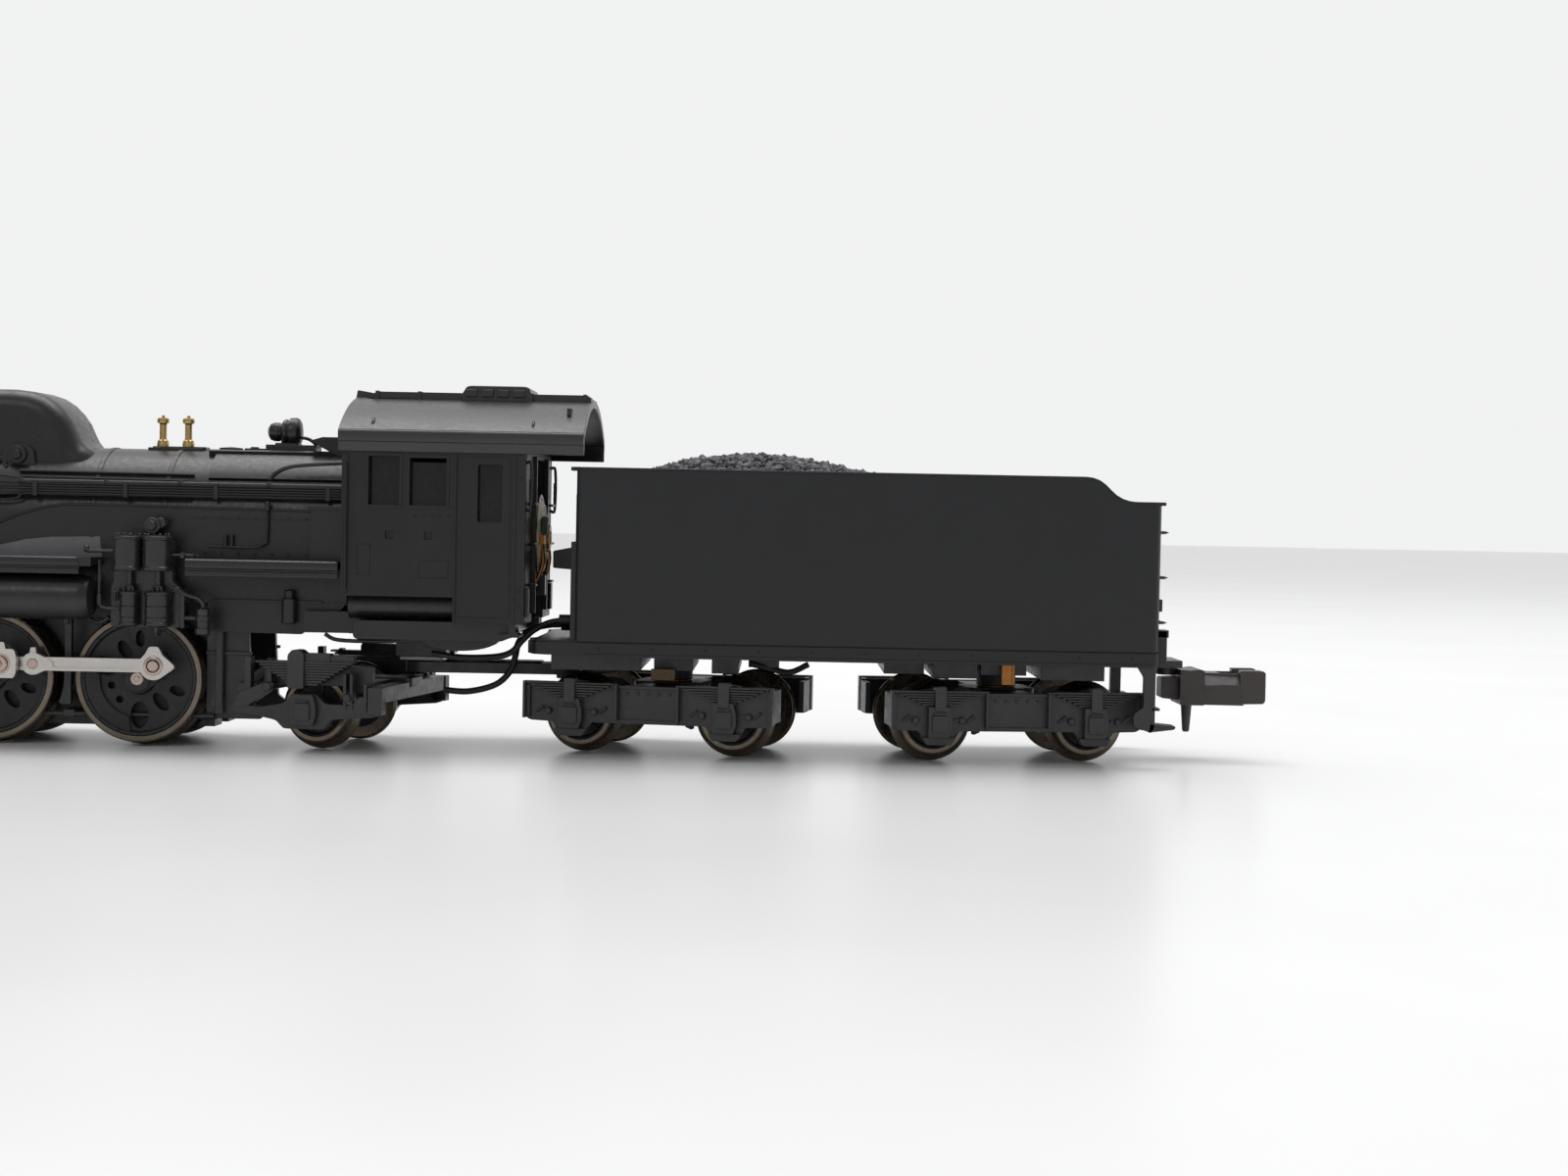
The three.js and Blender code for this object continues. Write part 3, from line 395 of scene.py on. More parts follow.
def smooth_line(points, steps):
    p = [Vector(q) for q in points]
    if len(p) == 2 or steps < 2:
        return p
    p = [2 * p[0] - p[1], *p, 2 * p[-1] - p[-2]]
    line = []
    for i in range(1, len(p) - 2):
        for k in range(steps):
            t = k / steps
            line.append(0.5 * (2 * p[i] + (p[i + 1] - p[i - 1]) * t
                               + (2 * p[i - 1] - 5 * p[i] + 4 * p[i + 1] - p[i + 2]) * t * t
                               + (3 * p[i] - p[i - 1] - 3 * p[i + 1] + p[i + 2]) * t ** 3))
    return [*line, p[-2]]


def subtract(piece, cutter_piece):
    """Cuts the shapes gathered in another Piece out of an object."""
    cutter_piece.mesh.normal_update()
    cutter = cutter_piece.to_object("cutter")
    modifier = piece.modifiers.new("cut", "BOOLEAN")
    modifier.object, modifier.solver = cutter, "EXACT"
    modifier.use_self = True
    bake_modifiers(piece)
    bpy.data.objects.remove(cutter)


def bake_modifiers(piece):
    shape = bpy.data.meshes.new_from_object(piece.evaluated_get(bpy.context.evaluated_depsgraph_get()))
    piece.modifiers.clear()
    piece.data = shape


def polish(piece, bevel, angle):
    """Rounds the edges a little and shades what is round smoothly."""
    for polygon in piece.data.polygons:
        polygon.use_smooth = True
    piece.data.set_sharp_from_angle(angle=math.radians(angle))
    if bevel:
        round_edges(piece, bevel, angle)


def round_edges(piece, width, angle):
    modifier = piece.modifiers.new("edges", "BEVEL")
    modifier.width, modifier.segments = width * MM, EDGE_SEGMENTS
    modifier.limit_method, modifier.angle_limit = "ANGLE", math.radians(angle)
    modifier.harden_normals = True


# ---------- floor and light ----------
def make_stage():
    floor_data = bpy.data.meshes.new("floor")
    reach = 3.0
    floor_data.from_pydata([(-reach, -reach, 0), (reach, -reach, 0), (reach, reach, 0), (-reach, reach, 0)],
                           [], [(0, 1, 2, 3)])
    floor = bpy.data.objects.new("floor", floor_data)
    bpy.context.scene.collection.objects.link(floor)
    n = Nodes("floor_white")
    cloud = n.noise(30, 3, 0.5)
    n.link(n.ramp(cloud, [(0.3, (0.86, 0.86, 0.855)), (0.7, (0.9, 0.9, 0.895))]),
           n.shader.inputs["Base Color"])
    n.shader.inputs["Roughness"].default_value = 0.28
    n.shader.inputs["Specular IOR Level"].default_value = 0.25
    floor_data.materials.append(n.material)


def area_light(name, place, target, size, watts):
    data = bpy.data.lights.new(name, "AREA")
    data.shape, data.size, data.size_y, data.energy = "RECTANGLE", *size, watts
    light = bpy.data.objects.new(name, data)
    light.location = place
    light.rotation_euler = (Vector(target) - Vector(place)).to_track_quat("-Z", "Y").to_euler()
    bpy.context.scene.collection.objects.link(light)


def make_light():
    """A pale studio: white behind and above, dim on the near side, with a strong soft light overhead."""
    world = bpy.data.worlds.new("studio")
    world.use_nodes = True
    tree = world.node_tree
    ground = tree.nodes["Background"]
    place = tree.nodes.new("ShaderNodeTexCoord")
    split = tree.nodes.new("ShaderNodeSeparateXYZ")
    ramp = tree.nodes.new("ShaderNodeValToRGB")
    tree.links.new(place.outputs["Generated"], split.inputs["Vector"])
    tree.links.new(split.outputs["Y"], ramp.inputs["Fac"])
    ramp.color_ramp.elements[0].position, ramp.color_ramp.elements[0].color = 0.0, (0.42, 0.42, 0.425, 1)
    ramp.color_ramp.elements[1].position, ramp.color_ramp.elements[1].color = 0.3, (0.882, 0.885, 0.893, 1)
    tree.links.new(ramp.outputs["Color"], ground.inputs["Color"])
    ground.inputs["Strength"].default_value = 1.0
    bpy.context.scene.world = world
    area_light("top_light", (0.03, 0.1, 0.5), (0, 0, 0), (0.5, 0.3), 1.45)
    area_light("side_light", (-0.15, -0.5, 0.42), (0, 0, 0.01), (0.25, 0.2), 0.3)
    sky = bpy.data.lights.new("sky_light", "SUN")
    sky.energy, sky.angle = 0.3, math.radians(70)
    above = bpy.data.objects.new("sky_light", sky)
    above.rotation_euler = (math.radians(-14), 0, 0)
    bpy.context.scene.collection.objects.link(above)
    bpy.context.scene.view_settings.view_transform = "Standard"


make_stage()
make_light()

# ---------- places read from the frame ----------
def low(node):
    return Vector(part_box(node)[0]) / MM


def high(node):
    return Vector(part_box(node)[1]) / MM


def centre(node):
    return (low(node) + high(node)) / 2


def yawed(x, degrees):
    """A frame whose origin stands at x on the centreline, turned about Z."""
    return Matrix.Translation((x, 0, 0)) @ Matrix.Rotation(math.radians(degrees), 4, "Z")


# ---------- the CAD nodes that keep their own shape ----------
KEPT = (
    (FRAME, ("keeper_plate", "leading_truck")),
    (BODY, ("smoke_deflector_left", "smoke_deflector_right")),
    (STEEL, ("motor_shaft", "drawbar_pin", "tender_weight")),
    (BRASS, ("idler_gear", "worm_wheel")),
)
KEPT_BEVEL, KEPT_ANGLE = 0.08, 30


def dress(node, material):
    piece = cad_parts[node]
    piece.data.materials.clear()
    piece.data.materials.append(material)
    round_edges(piece, KEPT_BEVEL, KEPT_ANGLE)


for material, nodes in KEPT:
    for node in nodes:
        dress(node, material)

# ---------- wheels ----------
WHEEL_BACK = 3.7
DRIVER_TREAD, DRIVER_FLANGE = 4.77, 5.07
CARRY_TREAD, CARRY_FLANGE = 2.51, 3.07
AXLE_Z = DRIVER_FLANGE
CRANK = 1.79
PIN_ANGLE = {LEFT: 35.5, RIGHT: -54.5}
DRIVERS = [centre(f"driver_wheelset_{i}").x for i in (1, 2, 3, 4)]


def polar(angle, radius):
    return radius * math.cos(math.radians(angle)), radius * math.sin(math.radians(angle))


def tyre(piece, side, tread, flange, inner, face, sides=64):
    profile = [(inner, 3.78), (flange - 0.2, WHEEL_BACK), (flange - 0.03, 3.83), (flange, 3.95),
               (flange - 0.04, 4.08), (tread + 0.1, 4.3), (tread + 0.02, 4.42), (tread, face - 0.12),
               (tread - 0.1, face), (inner, face)]
    piece.lathe([(r, side * y) for r, y in profile], "Y", sides=sides)


def hull(a, b, ra, rb):
    """The outline of two circles and the straight lines that touch both."""
    ax, az = a
    bx, bz = b
    line = math.degrees(math.atan2(bz - az, bx - ax))
    lean = math.degrees(math.acos((ra - rb) / math.hypot(bx - ax, bz - az)))
    return arc(ax, az, ra, line + lean, line + 360 - lean, 18) + arc(bx, bz, rb, line - lean, line + lean, 14)


def driver_centre(side):
    """A box-type wheel centre: a dished disc and the cutters for its pierced pockets. Its crank boss and
    counterweight are made in driver_bosses.
    """
    pin = PIN_ANGLE[side]
    piece, holes = Piece(), Piece()
    inner = 4.34
    profile = [(0, 3.8), (inner, 3.8), (inner, 5.86), (inner - 0.1, 5.92), (inner - 0.28, 5.9),
               (inner - 0.4, 5.62), (1.7, 5.5), (1.25, 5.62), (1.1, 6.0), (0, 6.0)]
    piece.lathe([(r, side * y) for r, y in profile], "Y", sides=56)
    turn = pin - PIN_ANGLE[LEFT]
    pockets = [(-90, 2.75, 1.0, 0.68), (161, 2.75, 1.0, 0.68), (-48, 2.35, 0.8, 0.45),
               (119, 2.35, 0.8, 0.45), (-18, 2.95, 0.62, 0.36), (90, 2.95, 0.62, 0.36),
               (-133, 2.2, 0.28, 0.28), (-165, 2.2, 0.28, 0.28)]
    for angle, radius, long, short in pockets:
        x, z = polar(angle + turn, radius)
        outline = ellipse(x, z, long, short, math.radians(angle + turn), 20)
        holes.prism(outline, "Y", *on(side, 4.7, 7))
    return piece, holes


def driver_bosses(piece, side):
    pin = PIN_ANGLE[side]
    piece.prism(hull((0, 0), polar(pin, CRANK), 1.1, 0.98), "Y", *on(side, 5.4, 6.25))
    piece.rod(1.0, "Y", 0, 0, *on(side, 5.6, 6.4), sides=32)
    piece.rod(0.86, "Y", *polar(pin, CRANK), *on(side, 6, 6.6), sides=28)
    weight = arc(0, 0, 4.02, pin + 180 - 46, pin + 180 + 46, 22) + arc(0, 0, 2.95, pin + 180 + 40,
                                                                       pin + 180 - 40, 14)
    piece.prism(weight, "Y", *on(side, 5.4, 5.82))
    for k in range(16):
        x, z = polar(pin + 11 + k * 22.5, 4.13)
        piece.rod(0.09, "Y", x, z, *on(side, 5.8, 5.97), sides=8, edge=0.02)


def gear_teeth(teeth, phase):
    outline = []
    for i in range(teeth):
        for share, radius in ((-0.3, -0.24), (-0.12, 0.08), (0.12, 0.08), (0.3, -0.24)):
            outline.append(polar(phase + (i + share) * 360 / teeth, teeth / 10 + radius))
    return outline


def driver_wheelset(number):
    node, body = f"driver_wheelset_{number}", f"driver_{number}"
    x = DRIVERS[number - 1]
    place = Matrix.Translation((x, 0, AXLE_Z))
    tyres, bright = Piece(), Piece()
    for label, side in SIDES:
        tyre(tyres, side, DRIVER_TREAD, DRIVER_FLANGE, 4.32, 5.95, 96)
        centre_piece, holes = driver_centre(side)
        centre_piece.turn(place).done(f"driver_centre_{number}_{label}", WHEEL_CENTRE, body=body,
                                      replaces=[node], cuts=holes.turn(place))
        boss = Piece()
        driver_bosses(boss, side)
        boss.turn(place).done(f"driver_boss_{number}_{label}", WHEEL_CENTRE, body=body, bevel=0.06)
        end = 8.32 if number == 3 else 7.58
        bright.rod(0.5, "Y", 0, 0, *on(side, 6.3, 6.46), sides=20)
        bright.rod(0.24, "Y", 0, 0, *on(side, 6.4, 6.52), sides=12)
        pin = polar(PIN_ANGLE[side], CRANK)
        bright.rod(0.66, "Y", *pin, *on(side, 6.55, 6.72), sides=28)
        bright.rod(0.42, "Y", *pin, *on(side, 6.6, end), sides=24)
    bright.rod(0.74, "Y", 0, 0, -3.78, 3.78, sides=28)
    tyres.turn(place).done(f"driver_tyres_{number}", TYRE, body=body, bevel=0.04, replaces=[node])
    bright.turn(place).done(f"driver_pins_{number}", PINK_NICKEL, body=body, bevel=0, replaces=[node])
    if number == 4:
        idler = centre("idler_gear")
        down = math.degrees(math.atan2(AXLE_Z - idler.z, x - idler.x))
        gear = Piece().prism(gear_teeth(14, down + 180 + 180 / 14), "Y", -0.9, 0.9)
        gear.turn(place).done("driver_gear", BRASS, body=body, bevel=0.02, replaces=[node])


for number in (1, 2, 3, 4):
    driver_wheelset(number)


def carrying_wheelset(node, body, yaw=0.0, end=7.25):
    at = centre(node)
    place = Matrix.Translation(at) @ Matrix.Rotation(math.radians(yaw), 4, "Z")
    tyres, disc, axle = Piece(), Piece(), Piece()
    for _, side in SIDES:
        tyre(tyres, side, CARRY_TREAD, CARRY_FLANGE, 2.08, 5.45, 64)
        profile = [(0, 3.8), (2.1, 3.8), (2.1, 5.3), (1.95, 5.34), (1.8, 5.05), (0.95, 4.95), (0.8, 5.35),
                   (0.55, 5.42), (0, 5.42)]
        disc.lathe([(r, side * y) for r, y in profile], "Y", sides=40)
        for k in range(6):
            disc.prism(ellipse(*polar(60 * k + 15, 1.38), 0.44, 0.12, math.radians(60 * k + 15), 12), "Y",
                       *on(side, 4.9, 5.16))
        axle.lathe([(0, side * 5.3), (0.36, side * 5.3), (0.34, side * (end - 0.25)), (0.1, side * end),
                    (0, side * end)], "Y", sides=20)
    axle.rod(0.4, "Y", 0, 0, -3.85, 3.85, sides=20)
    tyres.turn(place).done(f"{node}_tyres", TYRE, body=body, bevel=0.03, replaces=[node])
    disc.turn(place).done(f"{node}_discs", WHEEL_CENTRE, body=body, bevel=0.03, replaces=[node])
    axle.turn(place).done(f"{node}_axle", STEEL, body=body, bevel=0, replaces=[node])


TRAILING_YAW = -9.5
TRUCKS = {"front": (28.05, -11.0, (1, 2)), "rear": (52.9, 6.8, (3, 4))}
carrying_wheelset("leading_wheelset", "leading_wheels", end=5.68)
carrying_wheelset("trailing_wheelset", "trailing_wheels", TRAILING_YAW)
for _, yaw, numbers in TRUCKS.values():
    for number in numbers:
        carrying_wheelset(f"tender_wheelset_{number}", f"tender_wheels_{number}", yaw)

# ---------- rods ----------
PINS = {side: [(x + polar(PIN_ANGLE[side], CRANK)[0], AXLE_Z + polar(PIN_ANGLE[side], CRANK)[1])
               for x in DRIVERS] for _, side in SIDES}
SIDE_ROD_Y = (6.76, 7.39)
MAIN_ROD_Y = (7.52, 8.08)
KNUCKLE_AHEAD = 8.9
FLUTE_START, FLUTE_STOP = 0.06, 0.93  # shares of the main rod's length


def side_rod(label, side):
    inner, outer = SIDE_ROD_Y
    z = PINS[side][0][1]
    rod, cuts, rings = Piece(), Piece(), Piece()
    stops = [x for x, _ in PINS[side]]
    knuckle = stops[3] - KNUCKLE_AHEAD
    rod.prism(rounded([(stops[0] - 0.2, z - 0.5), (stops[3] + 0.2, z - 0.5), (stops[3] + 0.2, z + 0.5),
                       (stops[0] - 0.2, z + 0.5)], 0.2), "Y", inner + 0.1, outer - 0.1)
    for x, _ in PINS[side]:
        rod.prism(hull((x, z), (x + 1.3, z - 0.05), 1.05, 0.24), "Y", inner, outer - 0.02)
        cup = [(x - 0.9, z + 0.4), (x - 0.52, z + 1.08), (x - 0.34, z + 1.42), (x + 0.34, z + 1.42),
               (x + 0.52, z + 1.08), (x + 0.9, z + 0.4)]
        rod.prism(rounded(cup, 0.14, 3), "Y", inner + 0.06, outer - 0.07)
        cuts.rod(0.5, "Y", x, z, inner - 1, outer + 1, sides=24, edge=0)
        rings.lathe([(0.5, inner + 0.05), (0.72, inner + 0.05), (0.72, outer + 0.04), (0.66, outer + 0.08),
                     (0.5, outer + 0.08)], "Y", x, z, 32)
    rod.prism(hull((knuckle, z), (knuckle + 1.1, z), 0.82, 0.36), "Y", inner + 0.02, outer - 0.02)
    rod.prism(rounded([(knuckle - 0.3, z + 0.5), (knuckle - 0.18, z + 1.2), (knuckle + 0.18, z + 1.2),
                       (knuckle + 0.3, z + 0.5)], 0.08, 3), "Y", inner + 0.1, outer - 0.1)
    rings.rod(0.4, "Y", knuckle, z, inner, outer + 0.05, sides=24)
    ends = [(stops[0], stops[1]), (stops[1], stops[2]), (stops[2], knuckle), (knuckle, stops[3])]
    for start, stop in ends:
        flute = rounded([(start + 1.5, z - 0.24), (stop - 1.25, z - 0.24), (stop - 1.25, z + 0.24),
                         (start + 1.5, z + 0.24)], 0.2)
        cuts.prism(flute, "Y", outer - 0.2, outer + 1)
    rod.mirrored(side).done(f"side_rod_{label}_bar", NICKEL, body=f"side_rod_{label}", bevel=0.035,
                            replaces=[f"side_rod_{label}"], cuts=cuts.mirrored(side))
    rings.mirrored(side).done(f"side_rod_{label}_bushings", PINK_NICKEL, body=f"side_rod_{label}",
                              bevel=0.02, replaces=[f"side_rod_{label}"])


def main_rod(label, side):
    inner, outer = MAIN_ROD_Y
    x, z = PINS[side][2]
    front = low(f"main_rod_{label}").x + 0.75
    rod, cuts, trim = Piece(), Piece(), Piece()
    rod.prism([(front, AXLE_Z - 0.36), (x - 0.6, z - 0.5), (x - 0.6, z + 0.5), (front, AXLE_Z + 0.36)], "Y",
              inner + 0.08, outer - 0.08)
    block = [(x - 1.15, z - 1.05), (x + 1.05, z - 1.05), (x + 1.2, z - 0.6), (x + 1.2, z + 0.6),
             (x + 1.05, z + 1.1), (x - 1.15, z + 1.1)]
    rod.prism(rounded(block, 0.22), "Y", inner, outer)
    rod.prism(rounded([(x - 0.45, z + 0.9), (x - 0.3, z + 1.6), (x + 0.3, z + 1.6), (x + 0.45, z + 0.9)],
                      0.1, 3), "Y", inner + 0.06, outer - 0.06)
    rod.rod(0.74, "Y", front, AXLE_Z, inner, outer, sides=32)
    cuts.rod(0.5, "Y", x, z, inner - 1, outer + 1, sides=24, edge=0)
    span = Vector((x - front, z - AXLE_Z))
    near = Vector((front, AXLE_Z)) + span * FLUTE_START
    far = Vector((front, AXLE_Z)) + span * FLUTE_STOP
    up = Vector((-span.y, span.x)).normalized()
    corners = [near + up * 0.14, near - up * 0.14, far - up * 0.24, far + up * 0.24]
    cuts.prism(rounded([tuple(c) for c in corners], 0.12), "Y", outer - 0.2, outer + 1)
    trim.lathe([(0.5, inner + 0.02), (0.78, inner + 0.02), (0.78, outer + 0.05), (0.5, outer + 0.05)], "Y",
               x, z, 32)
    trim.rod(0.3, "Y", x - 0.82, z + 0.72, outer - 0.1, outer + 0.12, sides=6)
    trim.rod(0.3, "Y", x - 0.82, z - 0.72, outer - 0.1, outer + 0.12, sides=6)
    trim.rod(0.34, "Y", front, AXLE_Z, inner, outer + 0.06, sides=24)
    rod.mirrored(side).done(f"main_rod_{label}_bar", NICKEL, body=f"main_rod_{label}", bevel=0.035,
                            replaces=[f"main_rod_{label}"], cuts=cuts.mirrored(side))
    trim.mirrored(side).done(f"main_rod_{label}_trim", PINK_NICKEL, body=f"main_rod_{label}", bevel=0.02,
                             replaces=[f"main_rod_{label}"])
    bolt = Piece().rod(0.62, "Y", x, z, outer + 0.08, outer + 0.27, sides=32)
    bolt.rod(0.3, "Y", x, z, outer + 0.2, outer + 0.4, sides=6)
    bolt.mirrored(side).done(f"main_pin_cap_{label}", PINK_NICKEL, body="driver_3", bevel=0.03)


for label, side in SIDES:
    side_rod(label, side)
    main_rod(label, side)

# ---------- trucks ----------
def leaf_spring(piece, x, top, half, y0, y1, leaves=7, rise=0.19, short=0.42):
    """Leaves in a stack, each shorter than the one above it, with a buckle round the middle."""
    for k in range(leaves):
        reach = half - k * short
        piece.box(x - reach, x + reach, y0, y1 - 0.05 * k, top - (k + 1) * rise + 0.04, top - k * rise)
    piece.prism(rounded([(x - 0.42, top - leaves * rise - 0.15), (x + 0.42, top - leaves * rise - 0.15),
                         (x + 0.42, top + 0.3), (x - 0.42, top + 0.3)], 0.1, 2), "Y", y0, y1 + 0.14)


def axlebox(piece, x, z, y0, y1, width=0.86):
    outline = [(x - width, z - 1.0), (x + width - 0.14, z - 1.0), (x + width + 0.08, z - 0.3),
               (x + width + 0.08, z + 0.35), (x + width - 0.14, z + 1.25), (x - width, z + 1.25)]
    piece.prism(rounded(outline, 0.12, 3), "Y", y0, y1)
    piece.prism(rounded([(x - 0.6, z - 0.62), (x + 0.6, z - 0.62), (x + 0.6, z + 0.62), (x - 0.6, z + 0.62)],
                        0.14, 3), "Y", y1 - 0.1, y1 + 0.16)
    piece.box(x - 0.5, x + 0.5, y1, y1 + 0.24, z + 0.66, z + 0.8)


def tender_truck(label, x, yaw):
    node = f"tender_truck_{label}"
    half_base, end = 5.85, 9.4
    frames, trim = Piece(), Piece()
    for hand, side in SIDES:
        one, extra = Piece(), Piece()
        outline = [(-end, 2.75), (-end + 0.4, 2.55), (-half_base - 1.5, 2.5), (-half_base - 1.0, 1.75),
                   (-half_base + 1.0, 1.75), (-half_base + 1.5, 2.5), (half_base - 1.5, 2.5),
                   (half_base - 1.0, 1.75), (half_base + 1.0, 1.75), (half_base + 1.5, 2.5),
                   (end - 0.4, 2.55), (end, 2.75), (end, 5.25), (-end, 5.25)]
        one.prism(rounded(outline, 0.15, 3), "Y", 7.0, 7.6)
        one.box(-end, end, 7.0, 7.8, 5.1, 5.32)
        for far in (-end, end - 0.4):
            one.box(far, far + 0.4, 4.6, 7.9, 2.8, 5.2)
        for middle in (-half_base, half_base):
            leaf_spring(one, middle, 5.5, 3.4, 7.5, 8.3)
            axlebox(one, middle, CARRY_FLANGE, 7.5, 8.3)
            for k in (-1, 1):
                one.box(middle + k * 3.52 - 0.1, middle + k * 3.52 + 0.1, 7.5, 8.25, 2.75, 5.5)
                extra.tube([(middle + k * 2.4 - 0.3, 7.66, 3.2), (middle + k * 2.4 + 0.28, 7.8, 3.65)], 0.11,
                           6)
                extra.rod(0.26, "Y", middle + k * 1.75, 3.3, 7.5, 7.95, sides=14)
                extra.box(middle + k * 1.05 + 0.1, middle + k * 1.05 + 0.85, 7.5, 7.8, 3.25, 3.42)
            extra.prism(rounded([(middle - 0.9, 1.5), (middle + 0.9, 1.5), (middle + 1.25, 2.05),
                                 (middle - 1.25, 2.05)], 0.12, 2), "Y", 7.3, 8.05)
        for k in range(5):
            extra.rod(0.12, "Y", -1.6 + 0.8 * k, 4.75, 7.5, 7.75, sides=8, edge=0.03)
        extra.box(-2.3, 2.3, 7.5, 7.75, 2.52, 2.8)
        turn = yawed(x, yaw)
        one.mirrored(side).turn(turn).done(f"{node}_side_{hand}", FRAME, body=node, bevel=0.04,
                                           replaces=[node])
        extra.mirrored(side).turn(turn).done(f"{node}_fittings_{hand}", FRAME, body=node, bevel=0.025)
    frames.box(-1.6, 1.6, -7.2, 7.2, 4.25, 5.25)
    frames.prism(rounded([(-2.6, -2.4), (2.6, -2.4), (2.6, 2.4), (-2.6, 2.4)], 0.8), "Z", 4.6, 5.35)
    for middle in (-half_base, half_base):
        reach = 1.6 if middle < 0 else -1.6
        frames.box(*sorted((middle + reach, middle + reach * 1.35)), -6.4, 6.4, 2.9, 4.4)
        for _, side in SIDES:
            shoe = [(middle + reach * 1.95, 2.0), (middle + reach * 2.25, 2.2), (middle + reach * 2.25, 3.9),
                    (middle + reach * 1.95, 4.1)]
            frames.prism(shoe, "Y", *on(side, 4.2, 5.2))
    trim.lathe([(0.86, 4.5), (1.45, 4.5), (1.45, 5.42), (0.86, 5.42)], "Z", 0, 0, 32)
    frames.turn(yawed(x, yaw)).done(f"{node}_bolster", FRAME, body=node, replaces=[node])
    trim.turn(yawed(x, yaw)).done(f"{node}_centre_ring", COPPER, body=node, bevel=0.03)


def trailing_truck():
    node = "trailing_truck"
    pivot = -1.45
    axle = 4.2
    turn = yawed(pivot, TRAILING_YAW)
    for label, side in SIDES:
        one, spring = Piece(), Piece()
        beam = [(-1.4, 2.9), (axle - 3.2, 2.55), (axle - 2.2, 2.35), (axle - 1.6, 1.75), (axle + 1.5, 1.75),
                (axle + 2.1, 2.5), (axle + 5.3, 2.75), (axle + 6.0, 3.1), (axle + 6.0, 4.2),
                (axle + 4.2, 4.25), (axle + 3.6, 3.6), (axle + 1.6, 3.65), (axle + 0.9, 4.35),
                (axle - 0.8, 4.35), (axle - 1.7, 3.6), (axle - 3.4, 3.3), (-1.4, 3.5)]
        one.prism(rounded(beam, 0.2, 3), "Y", 7.0, 7.8)
        one.prism(rounded([(-1.3, 3.3), (-0.2, 3.3), (1.7, 4.6), (1.9, 5.1), (1.2, 5.15), (-0.9, 4.3)], 0.2,
                          3), "Y", 7.1, 7.9)
        one.rod(0.34, "Y", 1.35, 4.8, 7.2, 8.08, sides=20)
        one.box(-0.5, 0.0, 7.0, 7.7, 3.4, 7.0)
        one.box(1.25, 1.6, 7.0, 7.7, 4.9, 6.9)
        axlebox(one, axle, CARRY_FLANGE, 7.4, 8.25, 0.95)
        for k in (3.0, 3.5):
            one.box(axle + k, axle + k + 0.24, 7.1, 7.9, 3.3, 5.9)
        one.rod(0.3, "Y", axle + 3.35, 4.15, 7.2, 8.15, sides=20)
        one.box(axle + 4.9, axle + 6.0, 7.0, 7.95, 2.95, 4.95)
        one.box(axle + 4.6, axle + 4.85, 7.0, 8.0, 3.2, 5.2)
        leaves = 9
        for k in range(leaves):
            reach = 3.7 - k * 0.33
            spring.box(axle - reach, axle + reach, 7.2, 8.15 - 0.02 * k, 6.75 - (k + 1) * 0.2 + 0.03,
                       6.75 - k * 0.2)
        buckle = [(axle - 1.15, 4.75), (axle + 0.1, 4.75), (axle + 0.1, 7.35), (axle - 0.25, 7.6),
                  (axle - 0.8, 7.6), (axle - 1.15, 7.2)]
        spring.prism(rounded(buckle, 0.16, 3), "Y", 7.15, 8.3)
        spring.box(axle - 1.0, axle + 2.0, 7.15, 8.0, 6.7, 7.35)
        spring.box(axle + 2.0, axle + 3.8, 7.15, 7.9, 6.7, 7.2)
        one.mirrored(side).turn(turn).done(f"trailing_frame_{label}", FRAME, body=node, replaces=[node])
        spring.mirrored(side).turn(turn).done(f"trailing_spring_{label}", FRAME, body=node, bevel=0.025,
                                              replaces=[node])
    yoke = Piece()
    yoke.prism(rounded([(-1.3, -1.3), (axle + 6, -1.6), (axle + 6, 1.6), (-1.3, 1.3)], 0.5), "Z", 4.6, 5.3)
    yoke.box(-1.2, 0.3, -7.2, 7.2, 4.3, 5.0)
    yoke.box(axle + 4.8, axle + 5.9, -7.2, 7.2, 3.8, 5.0)
    yoke.box(axle + 3.2, axle + 4.6, -6.6, 6.6, 4.4, 5.2)
    for _, side in SIDES:
        yoke.box(axle - 3.6, axle + 4.8, *on(side, 6.0, 6.7), 4.9, 6.4)
    yoke.turn(turn).done("trailing_yoke", FRAME, body=node, bevel=0.06, replaces=[node])


for label, (x, yaw, _) in TRUCKS.items():
    tender_truck(label, x, yaw)
trailing_truck()


# ---------- tender ----------
TENDER_X = (low("tender_body").x, high("tender_body").x)
TENDER_Y = high("tender_body").y
TENDER_Z = (low("tender_body").z, high("tender_body").z)
TENDER_REAR_Z = 19.6


def swept_top(x0, x1, top):
    """The line along the top of the tender's side, down its rear curve."""
    drop = TENDER_Z[1] - top
    curve = [(58.3, 21.36), (58.8, 21.3), (59.3, 21.12), (59.75, 20.8), (60.15, 20.4), (60.55, 20.05),
             (61.0, 19.8), (61.5, 19.65), (62.0, TENDER_REAR_Z)]
    return [(x0, top), *[(a, b - drop) for a, b in curve], (x1, TENDER_REAR_Z - drop)]


